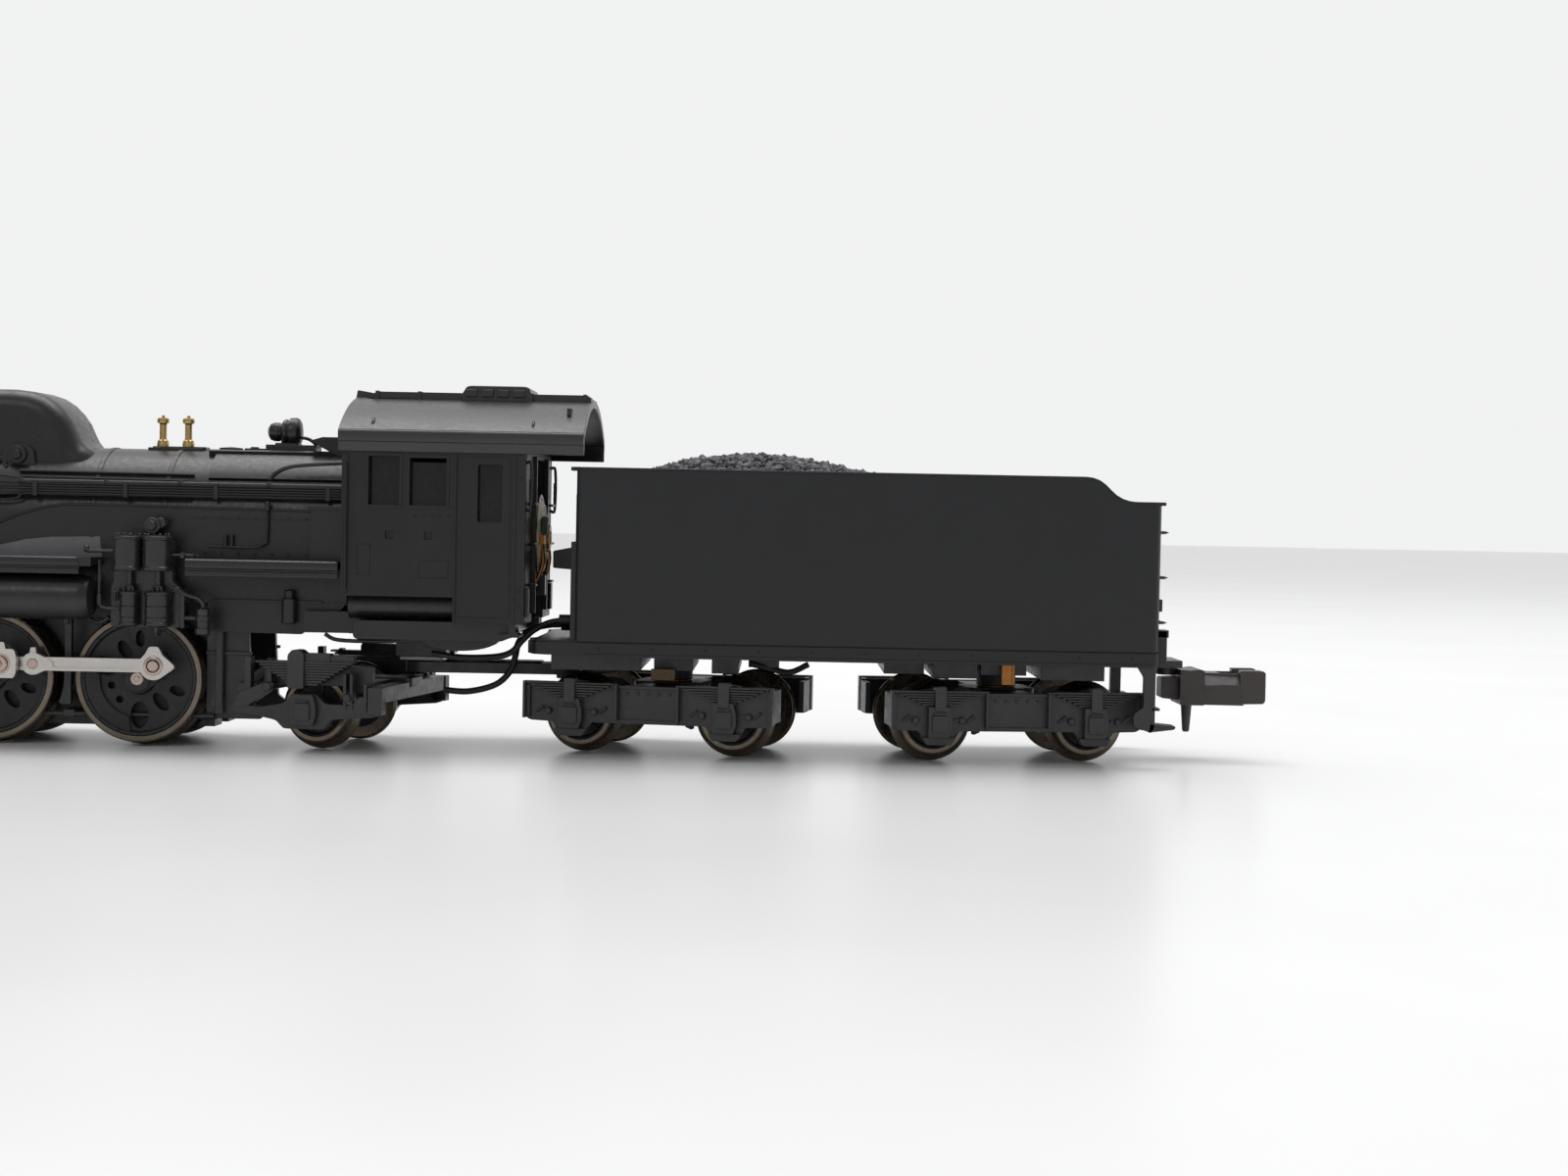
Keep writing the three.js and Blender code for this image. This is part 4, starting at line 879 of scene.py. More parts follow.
def tender_body():
    (x0, x1), (z0, z1) = TENDER_X, TENDER_Z
    body, cuts = Piece(), Piece()
    y = TENDER_Y
    plan = rounded([(x0 + 0.25, -y), (x1 - 0.15, -y), (x1 - 0.15, y), (x0 + 0.25, y)], 0.9, 8)
    body.prism(plan, "Z", z0, z1)
    above = [*swept_top(x0 - 1, x1 + 1, z1 - 0.14), (x1 + 1, z1 + 2), (x0 - 1, z1 + 2)]
    cuts.prism(above, "Y", -11, 11)
    inner = y - 0.55
    cuts.prism(rounded([(x0 + 2.6, -inner), (45.4, -inner), (45.4, inner), (x0 + 2.6, inner)], 0.5), "Z",
               18.0, z1 + 1)
    cuts.prism(rounded([(46.0, -inner), (x1 - 0.75, -inner), (x1 - 0.75, inner), (46.0, inner)], 0.6), "Z",
               19.1, z1 + 1)
    cuts.prism([(x0 - 1, -inner), (x0 + 1.9, -inner), (x0 + 1.9, inner), (x0 - 1, inner)], "Z", 19.4, z1 + 1)
    body.done("tender_tank", TENDER, body="tender", bevel=0.06, replaces=["tender_body"], cuts=cuts)

    lip = Piece()
    for label, side in SIDES:
        line = swept_top(x0 + 0.15, x1 - 0.1, z1)
        under = [(a, b - 0.16) for a, b in line]
        strip = Piece().prism(line + under[::-1], "Y", y - 0.5, y + 0.06).mirrored(side)
        strip.done(f"tender_rim_{label}", TENDER, body="tender")
    lip.box(x1 - 0.75, x1 + 0.12, -y + 0.3, y - 0.3, TENDER_REAR_Z - 0.25, TENDER_REAR_Z)
    lip.box(x0 - 0.12, x0 + 0.9, -y + 0.25, -y + 1.4, z1 - 0.28, z1)
    lip.box(x0 - 0.12, x0 + 0.9, y - 1.4, y - 0.25, z1 - 0.28, z1)
    lip.box(x0 - 0.05, x0 + 0.4, -y + 0.5, y - 0.5, z0, 15.9)
    lip.prism(rounded([(50, -1.6), (53.2, -1.6), (53.2, 1.6), (50, 1.6)], 0.5), "Z", 19.0, 19.9)
    lip.prism(rounded([(49.8, -1.8), (53.4, -1.8), (53.4, 1.8), (49.8, 1.8)], 0.5), "Z", 19.9, 20.1)
    for _, side in SIDES:
        for k in range(2):
            lip.rod(0.55, "Z", 57.6, side * (3 + 2.6 * k), 19.0, 19.9, sides=20)
    lip.box(x0 + 2.5, x0 + 2.9, -y + 0.4, y - 0.4, 18.5, z1 - 0.3)
    lip.box(45.35, 46.05, -y + 0.5, y - 0.5, 19.0, z1 - 0.2)
    lip.done("tender_deck_fittings", TENDER, body="tender", bevel=0.06, replaces=["tender_body"])

    rungs = Piece()
    for z in (17.4, 14.1, 10.8):
        for along_y in (-y + 1.1, -y + 2.9):
            rungs.lathe([(0, x1 - 0.4), (0.13, x1 - 0.3), (0.12, x1 + 0.2), (0, x1 + 0.52)], "X", along_y, z,
                        10)
        rungs.tube([(x1 + 0.26, -y + 1.1, z), (x1 + 0.26, -y + 2.9, z)], 0.09, 8)
        rungs.tube([(x1 + 0.3, y - 2.9, z), (x1 + 0.3, y - 1.1, z)], 0.09, 8)
    rungs.box(x1 - 0.3, x1 + 0.1, -y + 0.9, -y + 2.0, 11.6, 12.5)
    rungs.box(x1 - 0.3, x1 + 0.5, -y + 0.9, -y + 2.6, 7.6, 10.2)
    rungs.box(x1 - 0.3, x1 + 0.62, -y + 0.9, -y + 2.7, 9.7, 10.25)
    rungs.box(x1 - 0.3, x1 + 0.3, -2.0, 2.0, 8.4, 10.4)
    rungs.tube([(x1 + 0.4, 4, 16), (x1 + 0.5, 4, 14), (x1 + 0.5, 4, 12), (x1 + 0.3, 4, 11)], 0.12, 8)
    rungs.lathe([(0.3, x1 - 0.2), (0.85, x1 - 0.1), (0.95, x1 + 0.15), (0.8, x1 + 0.35), (0, x1 + 0.4),
                 (0, x1 - 0.2)], "X", 0, 17.4, 24)
    rungs.done("tender_rungs", BODY, body="tender", bevel=0.03)
    sockets = Piece()
    for y_socket, z_socket in ((-5.0, 9.95), (-3.3, 9.6)):
        sockets.lathe([(0.3, 19.7), (0.46, 19.7), (0.46, 20.5), (0.6, 20.55), (0.6, x0 + 0.3),
                       (0.3, x0 + 0.3)], "X", y_socket, z_socket, 20)
    sockets.done("tender_hose_sockets", RUBBER, body="tender", bevel=0, slot="body_black")
    lens = Piece().lathe([(0, x1 + 0.2), (0.62, x1 + 0.34), (0.5, x1 + 0.44), (0, x1 + 0.5)], "X", 0, 17.4,
                         24)
    lens.done("tender_lamp_lens", LAMP_LENS, body="tender", bevel=0)


def tender_underframe():
    x0, x1 = TENDER_X
    deck, cast, wires = Piece(), Piece(), Piece()
    plan = [(18.0, -5.9), (17.5, -6.6), (18.2, -8.6), (19.4, -9.15), (x1 - 0.4, -9.15), (x1 - 0.1, -8.8),
            (x1 - 0.1, 8.8), (x1 - 0.4, 9.15), (19.4, 9.15), (18.2, 8.6), (17.5, 6.6), (18.0, 5.9)]
    deck.prism(rounded(plan, 0.5), "Z", 7.62, 8.55)
    inset = [(a * 0.995 + 0.2, b * 0.985) for a, b in plan]
    deck.prism(rounded(inset, 0.4), "Z", 8.5, 8.72)
    for _, side in SIDES:
        deck.box(22, x1 - 0.6, *on(side, 8.85, 9.25), 7.5, 7.72)
        for k in range(11):
            deck.rod(0.11, "Y", 23 + 3.9 * k, 8.1, *on(side, 9.0, 9.22), sides=8, edge=0.03)
    deck.done("tender_sill", TENDER, body="tender", bevel=0.06, replaces=["tender_underframe"])
    cast.box(19.3, 25.9, -6.7, 6.7, 6.4, 7.7)
    cast.box(26.9, 29.8, -5.9, 5.9, 6.4, 7.7)
    cast.box(31.2, 33.2, -6.5, 6.5, 6.3, 7.7)
    cast.box(33.9, 36.2, -4.5, 4.5, 6.7, 7.7)
    cast.box(44.0, 47.0, -5.8, 5.8, 6.5, 7.7)
    cast.box(47.6, 50.9, -6.6, 6.6, 6.3, 7.7)
    cast.box(51.2, 54.6, -6.0, 6.0, 6.55, 7.7)
    cast.box(55.6, 60.3, -6.8, 6.8, 6.3, 7.7)
    cast.box(36.0, 44.5, -3.0, 3.0, 7.1, 7.7)
    for x, _, _ in TRUCKS.values():
        cast.lathe([(0, 5.45), (1.5, 5.45), (1.5, 7.7), (0, 7.7)], "Z", x, 0, 32)
        cast.lathe([(0, 3.9), (0.5, 3.9), (0.62, 4.1), (0.62, 5.6), (0, 5.6)], "Z", x, 0, 24)
    cast.box(61.6, 66.8, -2.6, 2.6, 7.15, 7.7)
    cast.rod(0.78, "Z", 66, 0, 6.5, 7.3, sides=28)
    cast.rod(0.55, "Z", 19.6, 0, 5.3, 7.7, sides=24)
    for _, side in SIDES:
        bracket = [(62.2, 3.2), (63.5, 2.7), (63.75, 3.1), (63.75, 8.4), (62.1, 8.4), (62.2, 7.9),
                   (62.9, 6.8), (62.9, 4.6), (62.2, 4.1)]
        cast.prism(rounded(bracket, 0.15, 3), "Y", *on(side, 8.3, 9.0))
        step = [(63.3, 2.75), (65.2, 3.0), (65.3, 3.25), (63.4, 3.4)]
        cast.prism(rounded(step, 0.08, 2), "Y", *on(side, 7.2, 9.0))
        cast.box(63.5, 64.1, *on(side, 7.4, 9.0), 4.35, 4.55)
    cast.done("tender_floor_casting", FRAME, body="tender", replaces=["tender_underframe"])
    wedge = Piece()
    stub = [(18.75, 13.8), (x0, 13.65), (x0, 15.55), (18.75, 15.1)]
    wedge.prism(rounded(stub, 0.1, 2), "Y", -1.1, 1.1)
    wedge.box(x0 - 0.35, x0 + 0.3, -1.6, 1.6, 13.3, 16.4)
    wedge.done("tender_front_buffer", BODY, body="tender", bevel=0.08, replaces=["tender_underframe"])
    strip = Piece()
    for _, side in SIDES:
        strip.box(52.7, 53.45, *on(side, 6.7, 6.85), 5.9, 7.75)
        strip.box(53.45, 53.62, *on(side, 6.62, 6.98), 5.9, 7.75)
    strip.done("tender_pickup_strips", COPPER, body="tender", bevel=0.02)
    dull = Piece()
    dull.box(26.75, 28.5, -7.1, -6.7, 5.75, 6.6)
    dull.rod(0.16, "Y", 44.6, 6.2, -7.0, -6.5, sides=12)
    dull.done("tender_screws", BRONZE, body="tender", bevel=0.03)
    wires.tube([(20.5, -3, 6.6), (22.5, -4.5, 6.2), (25, -4, 6.5)], 0.2, 8)
    wires.tube([(34, -4.6, 7.0), (35.6, -4.2, 6.6), (37, -3.4, 6.3), (38.4, -3, 6.9)], 0.24, 8)
    wires.done("tender_wires", RUBBER, body="tender", bevel=0, slot=None)


def coal_heap():
    """A bed shaped over the CAD heap's extent, which it replaces, with angular lumps strewn over it."""
    rng = random.Random(41)
    x0, x1, y0, y1 = low("coal_load").x, high("coal_load").x, low("coal_load").y, high("coal_load").y

    def height(x, y):
        across = max(0.0, 1 - (abs(y) / 8.4) ** 2.2)
        rise = max(0.0, math.sin(math.pi * min(1, max(0, (x - 24.2) / 23)) ** 0.8))
        return 19.6 + 3.05 * across ** 0.7 * rise ** 0.75

    lumps = Piece()
    rows = 46
    for i in range(rows):
        for j in range(34):
            x = x0 + 0.5 + (x1 - x0 - 1) * (i + rng.random()) / rows
            y = y0 + 0.4 + (y1 - y0 - 0.8) * (j + rng.random()) / 34
            size = rng.uniform(0.2, 0.44)
            z = height(x, y) - rng.uniform(0, 0.3)
            made = bmesh.ops.create_icosphere(lumps.mesh, subdivisions=1, radius=size)
            turn = Matrix.Rotation(rng.uniform(0, 6), 4, "X") @ Matrix.Rotation(rng.uniform(0, 6), 4, "Z")
            squash = Matrix.Diagonal((rng.uniform(0.7, 1.35), rng.uniform(0.7, 1.2), rng.uniform(0.6, 1.1),
                                      1))
            for vertex in made["verts"]:
                vertex.co *= rng.uniform(0.75, 1.2)
            bmesh.ops.transform(lumps.mesh, matrix=Matrix.Translation((x, y, z)) @ turn @ squash,
                                verts=made["verts"])
    lumps.done("coal_lumps", COAL, body="tender", bevel=0, angle=10, replaces=["coal_load"])
    bed = Piece()
    steps = 24
    grid = [[bed.mesh.verts.new((x0 + (x1 - x0) * i / steps, y0 + (y1 - y0) * j / 14,
                                 height(x0 + (x1 - x0) * i / steps, y0 + (y1 - y0) * j / 14) - 0.25))
             for j in range(15)] for i in range(steps + 1)]
    foot = [[bed.mesh.verts.new((v.co.x, v.co.y, 18.4)) for v in row] for row in grid]
    for i in range(steps):
        for j in range(14):
            bed.mesh.faces.new((grid[i][j], grid[i + 1][j], grid[i + 1][j + 1], grid[i][j + 1]))
            bed.mesh.faces.new((foot[i][j], foot[i][j + 1], foot[i + 1][j + 1], foot[i + 1][j]))
    for i in range(steps):
        for j in (0, 14):
            bed.mesh.faces.new((grid[i][j], foot[i][j], foot[i + 1][j], grid[i + 1][j]))
    for j in range(14):
        for i in (0, steps):
            bed.mesh.faces.new((grid[i][j], grid[i][j + 1], foot[i][j + 1], foot[i][j]))
    bed.done("coal_bed", COAL, body="tender", bevel=0, angle=80, replaces=["coal_load"])


tender_body()
tender_underframe()
coal_heap()


# ---------- couplers, drawbar and hoses ----------
def coupler(node, facing):
    piece, cuts = Piece(), Piece()
    shank = [(65.45, 4.75), (67, 4.6), (67, 6.4), (65.45, 6.3)]
    piece.prism(rounded(shank, 0.12, 2), "Y", -1.1, 1.1)
    piece.prism(rounded([(66.75, 4.3), (68.6, 4.3), (68.6, 6.95), (68.2, 7.05), (67.6, 6.95), (66.75, 7.0)],
                        0.12, 3), "Y", -2.15, 2.15)
    wedge = [(68.4, -2.0), (71.6, -2.2), (71.6, 2.2), (68.4, 2.0)]
    piece.prism(rounded(wedge, 0.15, 3), "Z", 4.35, 5.9)
    piece.prism([(68.4, -1.35), (71.6, -1.5), (71.6, 1.5), (68.4, 1.35)], "Z", 5.8, 6.75)
    for _, side in SIDES:
        slope = [(side * 2.1, 5.85), (side * 1.2, 6.75), (side * 1.2, 5.6), (side * 2.1, 5.6)]
        piece.prism(slope, "X", 68.4, 71.6)
    piece.prism(rounded([(71.3, 4.45), (73.05, 4.5), (73.22, 4.7), (73.22, 6.85), (73.05, 7.0), (71.3, 7.0)],
                        0.1, 3), "Y", -2.2, 2.2)
    cuts.prism(rounded([(69.9, -1.1), (71.4, -1.3), (71.4, 1.3), (69.9, 1.1)], 0.2), "Z", 3.5, 8)
    cuts.prism([(71.2, -0.9), (73.6, -0.4), (73.6, 1.5), (71.2, 0.9)], "Z", 3.5, 8)
    piece.lathe([(0, 2.1), (0.2, 2.12), (0.28, 2.25), (0.42, 4.2), (0.5, 4.4), (0, 4.4)], "Z", 67.6, 0, 24)
    if facing < 0:
        half_turn = Matrix.Rotation(math.pi, 4, "Z")
        piece.turn(half_turn)
        cuts.turn(half_turn)
    piece.done(f"{node}_body", COUPLER, body=node, bevel=0.07, replaces=[node], cuts=cuts)


def drawbar():
    bar, cuts = Piece(), Piece()
    plan = [(7.6, -1.2), (8.6, -1.7), (12, -1.5), (18.6, -1.4), (20, -1.4), (20.9, -0.9), (20.9, 0.9),
            (20, 1.4), (18.6, 1.4), (12, 1.5), (8.6, 1.7), (7.6, 1.2)]
    bar.prism(rounded(plan, 0.4), "Z", 5.65, 6.5)
    bar.prism(rounded([(10.6, -1.1), (18, -1.0), (18, 1.0), (10.6, 1.1)], 0.3), "Z", 6.4, 6.62)
    for x in (9, 19.6):
        cuts.rod(0.75, "Z", x, 0, 5, 8, sides=28, edge=0)
    bar.done("drawbar_plate", FRAME, body="drawbar", bevel=0.06, replaces=["drawbar"], cuts=cuts)


HOSE_RADIUS = 0.24
HOSE_ROUTES = {
    "hose_upper": [(19.8, -5.0, 9.95), (18.9, -5.0, 9.75), (17.8, -5.0, 9.2), (16.9, -5.0, 8.35),
                   (16.2, -5.0, 7.55), (15.0, -5.0, 7.15), (12.5, -5.0, 7.05), (10.2, -5.0, 7.3)],
    "hose_lower": [(19.8, -3.3, 9.6), (18.6, -3.3, 9.5), (17.3, -3.3, 9.1), (16.5, -3.3, 8.2),
                   (16.25, -3.3, 7.1), (15.9, -3.3, 6.0), (14.8, -3.3, 4.95), (12.8, -3.3, 4.4),
                   (10.9, -3.2, 4.45)],
}


def hoses():
    for name, route in HOSE_ROUTES.items():
        line = Piece().tube(route, HOSE_RADIUS, 16, 8)
        line.done(f"{name}_line", RUBBER, body="drawbar", bevel=0, replaces=[name])


coupler("rear_coupler", 1)
coupler("front_coupler", -1)
drawbar()
hoses()

# ---------- boiler and firebox ----------
BOILER_Z, BOILER_R, BOILER_IN = 16.2, 6.1, 5.3
BOILER_X = (low("boiler_shell").x, high("boiler_shell").x)


def shell_section(radius, inner, start, stop, steps):
    return arc(0, BOILER_Z, radius, start, stop, steps) + arc(0, BOILER_Z, inner, stop, start, steps)


def boiler():
    x0, x1 = BOILER_X
    barrel, sheets, rods = Piece(), Piece(), Piece()
    barrel.prism(shell_section(BOILER_R, BOILER_IN, -48, 228, 72), "X", x0, x1)
    for x in (-50.2, -38.2, -26.5, -15.2, -9.9):
        barrel.prism(shell_section(BOILER_R + 0.07, BOILER_R - 0.2, -40, 220, 60), "X", x, x + 0.38)
    barrel.prism(shell_section(BOILER_R + 0.12, BOILER_R - 0.2, -46, 226, 60), "X", x0, x0 + 7.2)
    barrel.done("boiler_barrel", BOILER_PAINT, bevel=0.04, angle=25, replaces=["boiler_shell"])
    for label, side in SIDES:
        span = (38, 69) if side > 0 else (111, 142)
        sheets.prism(shell_section(BOILER_R + 0.24, BOILER_R - 0.1, *span, 16), "X", -6.7, x1)
        lip = (67, 70) if side > 0 else (110, 113)
        sheets.prism(shell_section(BOILER_R + 0.42, BOILER_R - 0.1, *lip, 4), "X", -7.3, x1)
        sheets.prism(shell_section(BOILER_R + 0.2, BOILER_R - 0.1, *((8, 36) if side > 0 else (144, 172)),
                                   16), "X", -7.6, x1)
        cladding = [(x1, 14.0), (x1, 17.75), (-14.8, 17.95), (-17.4, 17.85), (-18.8, 17.6), (-20.2, 17.15),
                    (-21.8, 16.5), (-23.2, 15.7), (-24.4, 14.8), (-25.2, 13.9), (-24.0, 14.1),
                    (-21.8, 14.85), (-19.8, 15.3), (-18.0, 15.5), (-14.4, 15.6), (-14.2, 14.0)]
        sheets.prism(cladding, "Y", *on(side, 5.6, 6.16))
        ridge = [cladding[k] for k in range(1, 10)]
        sheets.tube([(x, side * 6.17, z) for x, z in ridge], 0.1, 8, 3)
        sheets.box(-14.4, x1, *on(side, 5.3, 6.12), 10.8, 16.2)
        pan = [(-6.3, 8.7), (-6.3, 11), (x1, 11), (x1 - 0.6, 10.2), (1.9, 9.7), (0.6, 8.6)]
        sheets.prism(pan, "Y", *on(side, 5.3, 6.2))
        sheets.box(-5.9, 2.2, *on(side, 6.1, 6.35), 10.9, 11.1)
        sheets.box(1.5, x1, *on(side, 6.0, 7.3), 14.1, 18.0)
        sheets.box(1.35, x1, *on(side, 6.0, 7.45), 17.9, 18.15)
        for k in range(7):
            sheets.rod(0.11, "Y", -6.6 + 1.25 * k, 17.2, *on(side, 6.0, 6.27), sides=8, edge=0.03)
            sheets.rod(0.11, "Y", -6.6 + 1.25 * k, 14.5, *on(side, 6.0, 6.27), sides=8, edge=0.03)
        # The light grey of this panel is painted highlight, standing in for the light it catches.
        panel = [(-59.5, 14.05), (-14.2, 14.05), (-14.3, 15.75), (-59.5, 15.75)]
        under = Piece().prism(panel, "Y", *on(side, 5.9, 6.13))
        under.done(f"ballast_side_{label}", PANEL_PAINTED_HIGHLIGHT, bevel=0.03)
        rods.tube([(-20.9, side * 4.62, 20.4), (-7.8, side * 4.66, 20.32)], 0.11, 8)
        rods.tube([(-20.6, side * 5.0, 19.95), (-8.2, side * 5.05, 19.85)], 0.07, 8)
        rods.tube([(-1.91, side * 6.45, 18.4), (-1.91, side * 6.45, 15.7), (-2.1, side * 6.45, 15.25),
                   (-2.7, side * 6.45, 15.0), (-4.5, side * 6.45, 14.98), (-6.26, side * 6.4, 15.02)], 0.1,
                  8, 4)
        for x in (-5.0, -4.53):
            rods.rod(0.14, "Z", x, side * 6.42, 14.95, 15.9, sides=12)
        rods.rod(0.22, "Z", -1.91, side * 6.42, 17.7, 18.4, sides=14)
        rods.tube([(-1.95, side * 5.5, 20.0), (-1.6, side * 5.45, 20.5), (-0.85, side * 5.2, 20.95),
                   (0.4, side * 5.0, 21.2), (4.0, side * 4.75, 21.45)], 0.17, 10, 4)
    sheets.done("firebox_sheets", BOILER_PAINT, bevel=0.04, angle=30, replaces=["boiler_shell"])
    rods.done("boiler_pipes", BODY, bevel=0)


def handrails():
    rail = Piece()
    for _, side in SIDES:
        y = side * 6.3
        rail.tube([(-61.5, side * 6.05, 19.2), (-60.5, y, 19.62), (-30, y, 19.64), (2.6, y, 19.62),
                   (4.0, y, 19.6)], 0.13, 10, 3)
        for x in (-58.5, -50.5, -42.5, -34.4, -26.4, -20.2, -13.9, -8.4, -1.85):
            rail.lathe([(0, side * 5.0), (0.12, side * 5.0), (0.12, side * 6.2), (0.2, side * 6.28),
                        (0.2, side * 6.38), (0.1, side * 6.46), (0, side * 6.46)], "Y", x, 19.63, 12)
    rail.done("boiler_handrails", BODY, bevel=0)


def pipe_bundle():
    pipes = Piece()
    for _, side in SIDES:
        for k in range(5):
            z, y = 18.72 + 0.19 * k, side * 6.28
            bulge = (k - 2) * 0.17
            line = [(-60, y, z), (-40, y, z), (-24.2, y, z), (-23.2, y, z + bulge),
                    (-22.3, y, z + bulge * 1.5), (-21.3, y, z + bulge * 1.5), (-20.4, y, z + bulge),
                    (-19.5, y, z), (-12, y, z), (-4, y, z), (3.9, y, z)]
            pipes.tube(line, 0.1, 8, 3)
        pipes.box(-24.0, 3.9, *on(side, 5.6, 6.22), 18.6, 19.58)
        for x in (-59.9, -53, -46.2, -39.5, -32.8, -26, -19.3, -12.6, -5.9, 2.4):
            pipes.box(x, x + 0.3, *on(side, 6.1, 6.48), 18.52, 19.68)
    pipes.done("washout_pipe_bundle", BOILER_PAINT, bevel=0, replaces=["pipe_bundle"])


def pillow(piece, outline, half, radius, floor, steps=6):
    """A slab across Y whose outline is drawn in XZ, with large round edges everywhere above the floor."""
    count = len(outline)
    normals = []
    for i, (a, b) in enumerate(outline):
        before, after = Vector(outline[max(i - 1, 0)]), Vector(outline[min(i + 1, count - 1)])
        along_line = (after - before).normalized()
        normals.append(Vector((along_line.y, -along_line.x)))
    rings = []
    layers = [(-1, k) for k in range(steps, -1, -1)] + [(1, k) for k in range(steps + 1)]
    for side, k in layers:
        angle = math.pi / 2 * k / steps
        inset, y = radius * (1 - math.cos(angle)), side * (half - radius + radius * math.sin(angle))
        ring = []
        for (a, b), normal in zip(outline, normals):
            z = b + normal.y * inset
            ring.append(piece.mesh.verts.new((a + normal.x * inset, y, max(z, floor)
                                              if b > floor else floor)))
        rings.append(ring)
    for one, two in zip(rings, rings[1:]):
        for i in range(count):
            j = (i + 1) % count
            piece.mesh.faces.new((one[i], one[j], two[j], two[i]))
    piece.mesh.faces.new(rings[0][::-1])
    piece.mesh.faces.new(rings[-1])


def dome():
    casing, boss = Piece(), Piece()
    outline = [(-39.6, 20.8), (-39.6, 22.4), (-39.3, 23.7), (-38.7, 24.9), (-37.8, 25.8), (-36.6, 26.35),
               (-35.2, 26.55), (-31, 26.56), (-26, 26.56), (-21.9, 26.55), (-20.6, 26.4), (-19.6, 26.08),
               (-18.85, 25.6), (-18.2, 24.95), (-17.65, 24.2), (-17.3, 23.4), (-17.0, 22.8), (-16.6, 22.3),
               (-16.0, 21.9), (-15.7, 20.8)]
    pillow(casing, outline, 3.62, 1.45, 20.8)
    casing.done("dome_casing", BOILER_PAINT, bevel=0, angle=60, replaces=["dome_cover"])
    for _, side in SIDES:
        boss.prism(rounded([(-22.5, 20.4), (-19.9, 20.4), (-20.1, 22.0), (-20.7, 22.4), (-21.8, 22.4),
                            (-22.4, 22.0)], 0.3), "Y", *on(side, 3.4, 3.95))
        boss.rod(0.72, "Y", -21.3, 21.6, *on(side, 3.5, 4.2), sides=28)
        boss.rod(0.38, "Y", -21.3, 21.6, *on(side, 4.1, 4.4), sides=20)
        boss.tube([(-36, side * 3.75, 21.6), (-28, side * 3.75, 21.6), (-23, side * 3.7, 21.5),
                   (-22, side * 4.2, 20.6)], 0.13, 8, 4)
    boss.rod(1.1, "Z", -34.2, 0, 26.3, 26.9, sides=32)
    boss.rod(0.9, "Z", -26.0, 0, 26.3, 26.8, sides=32)
    boss.done("dome_fittings", BOILER_PAINT, replaces=["dome_cover"])


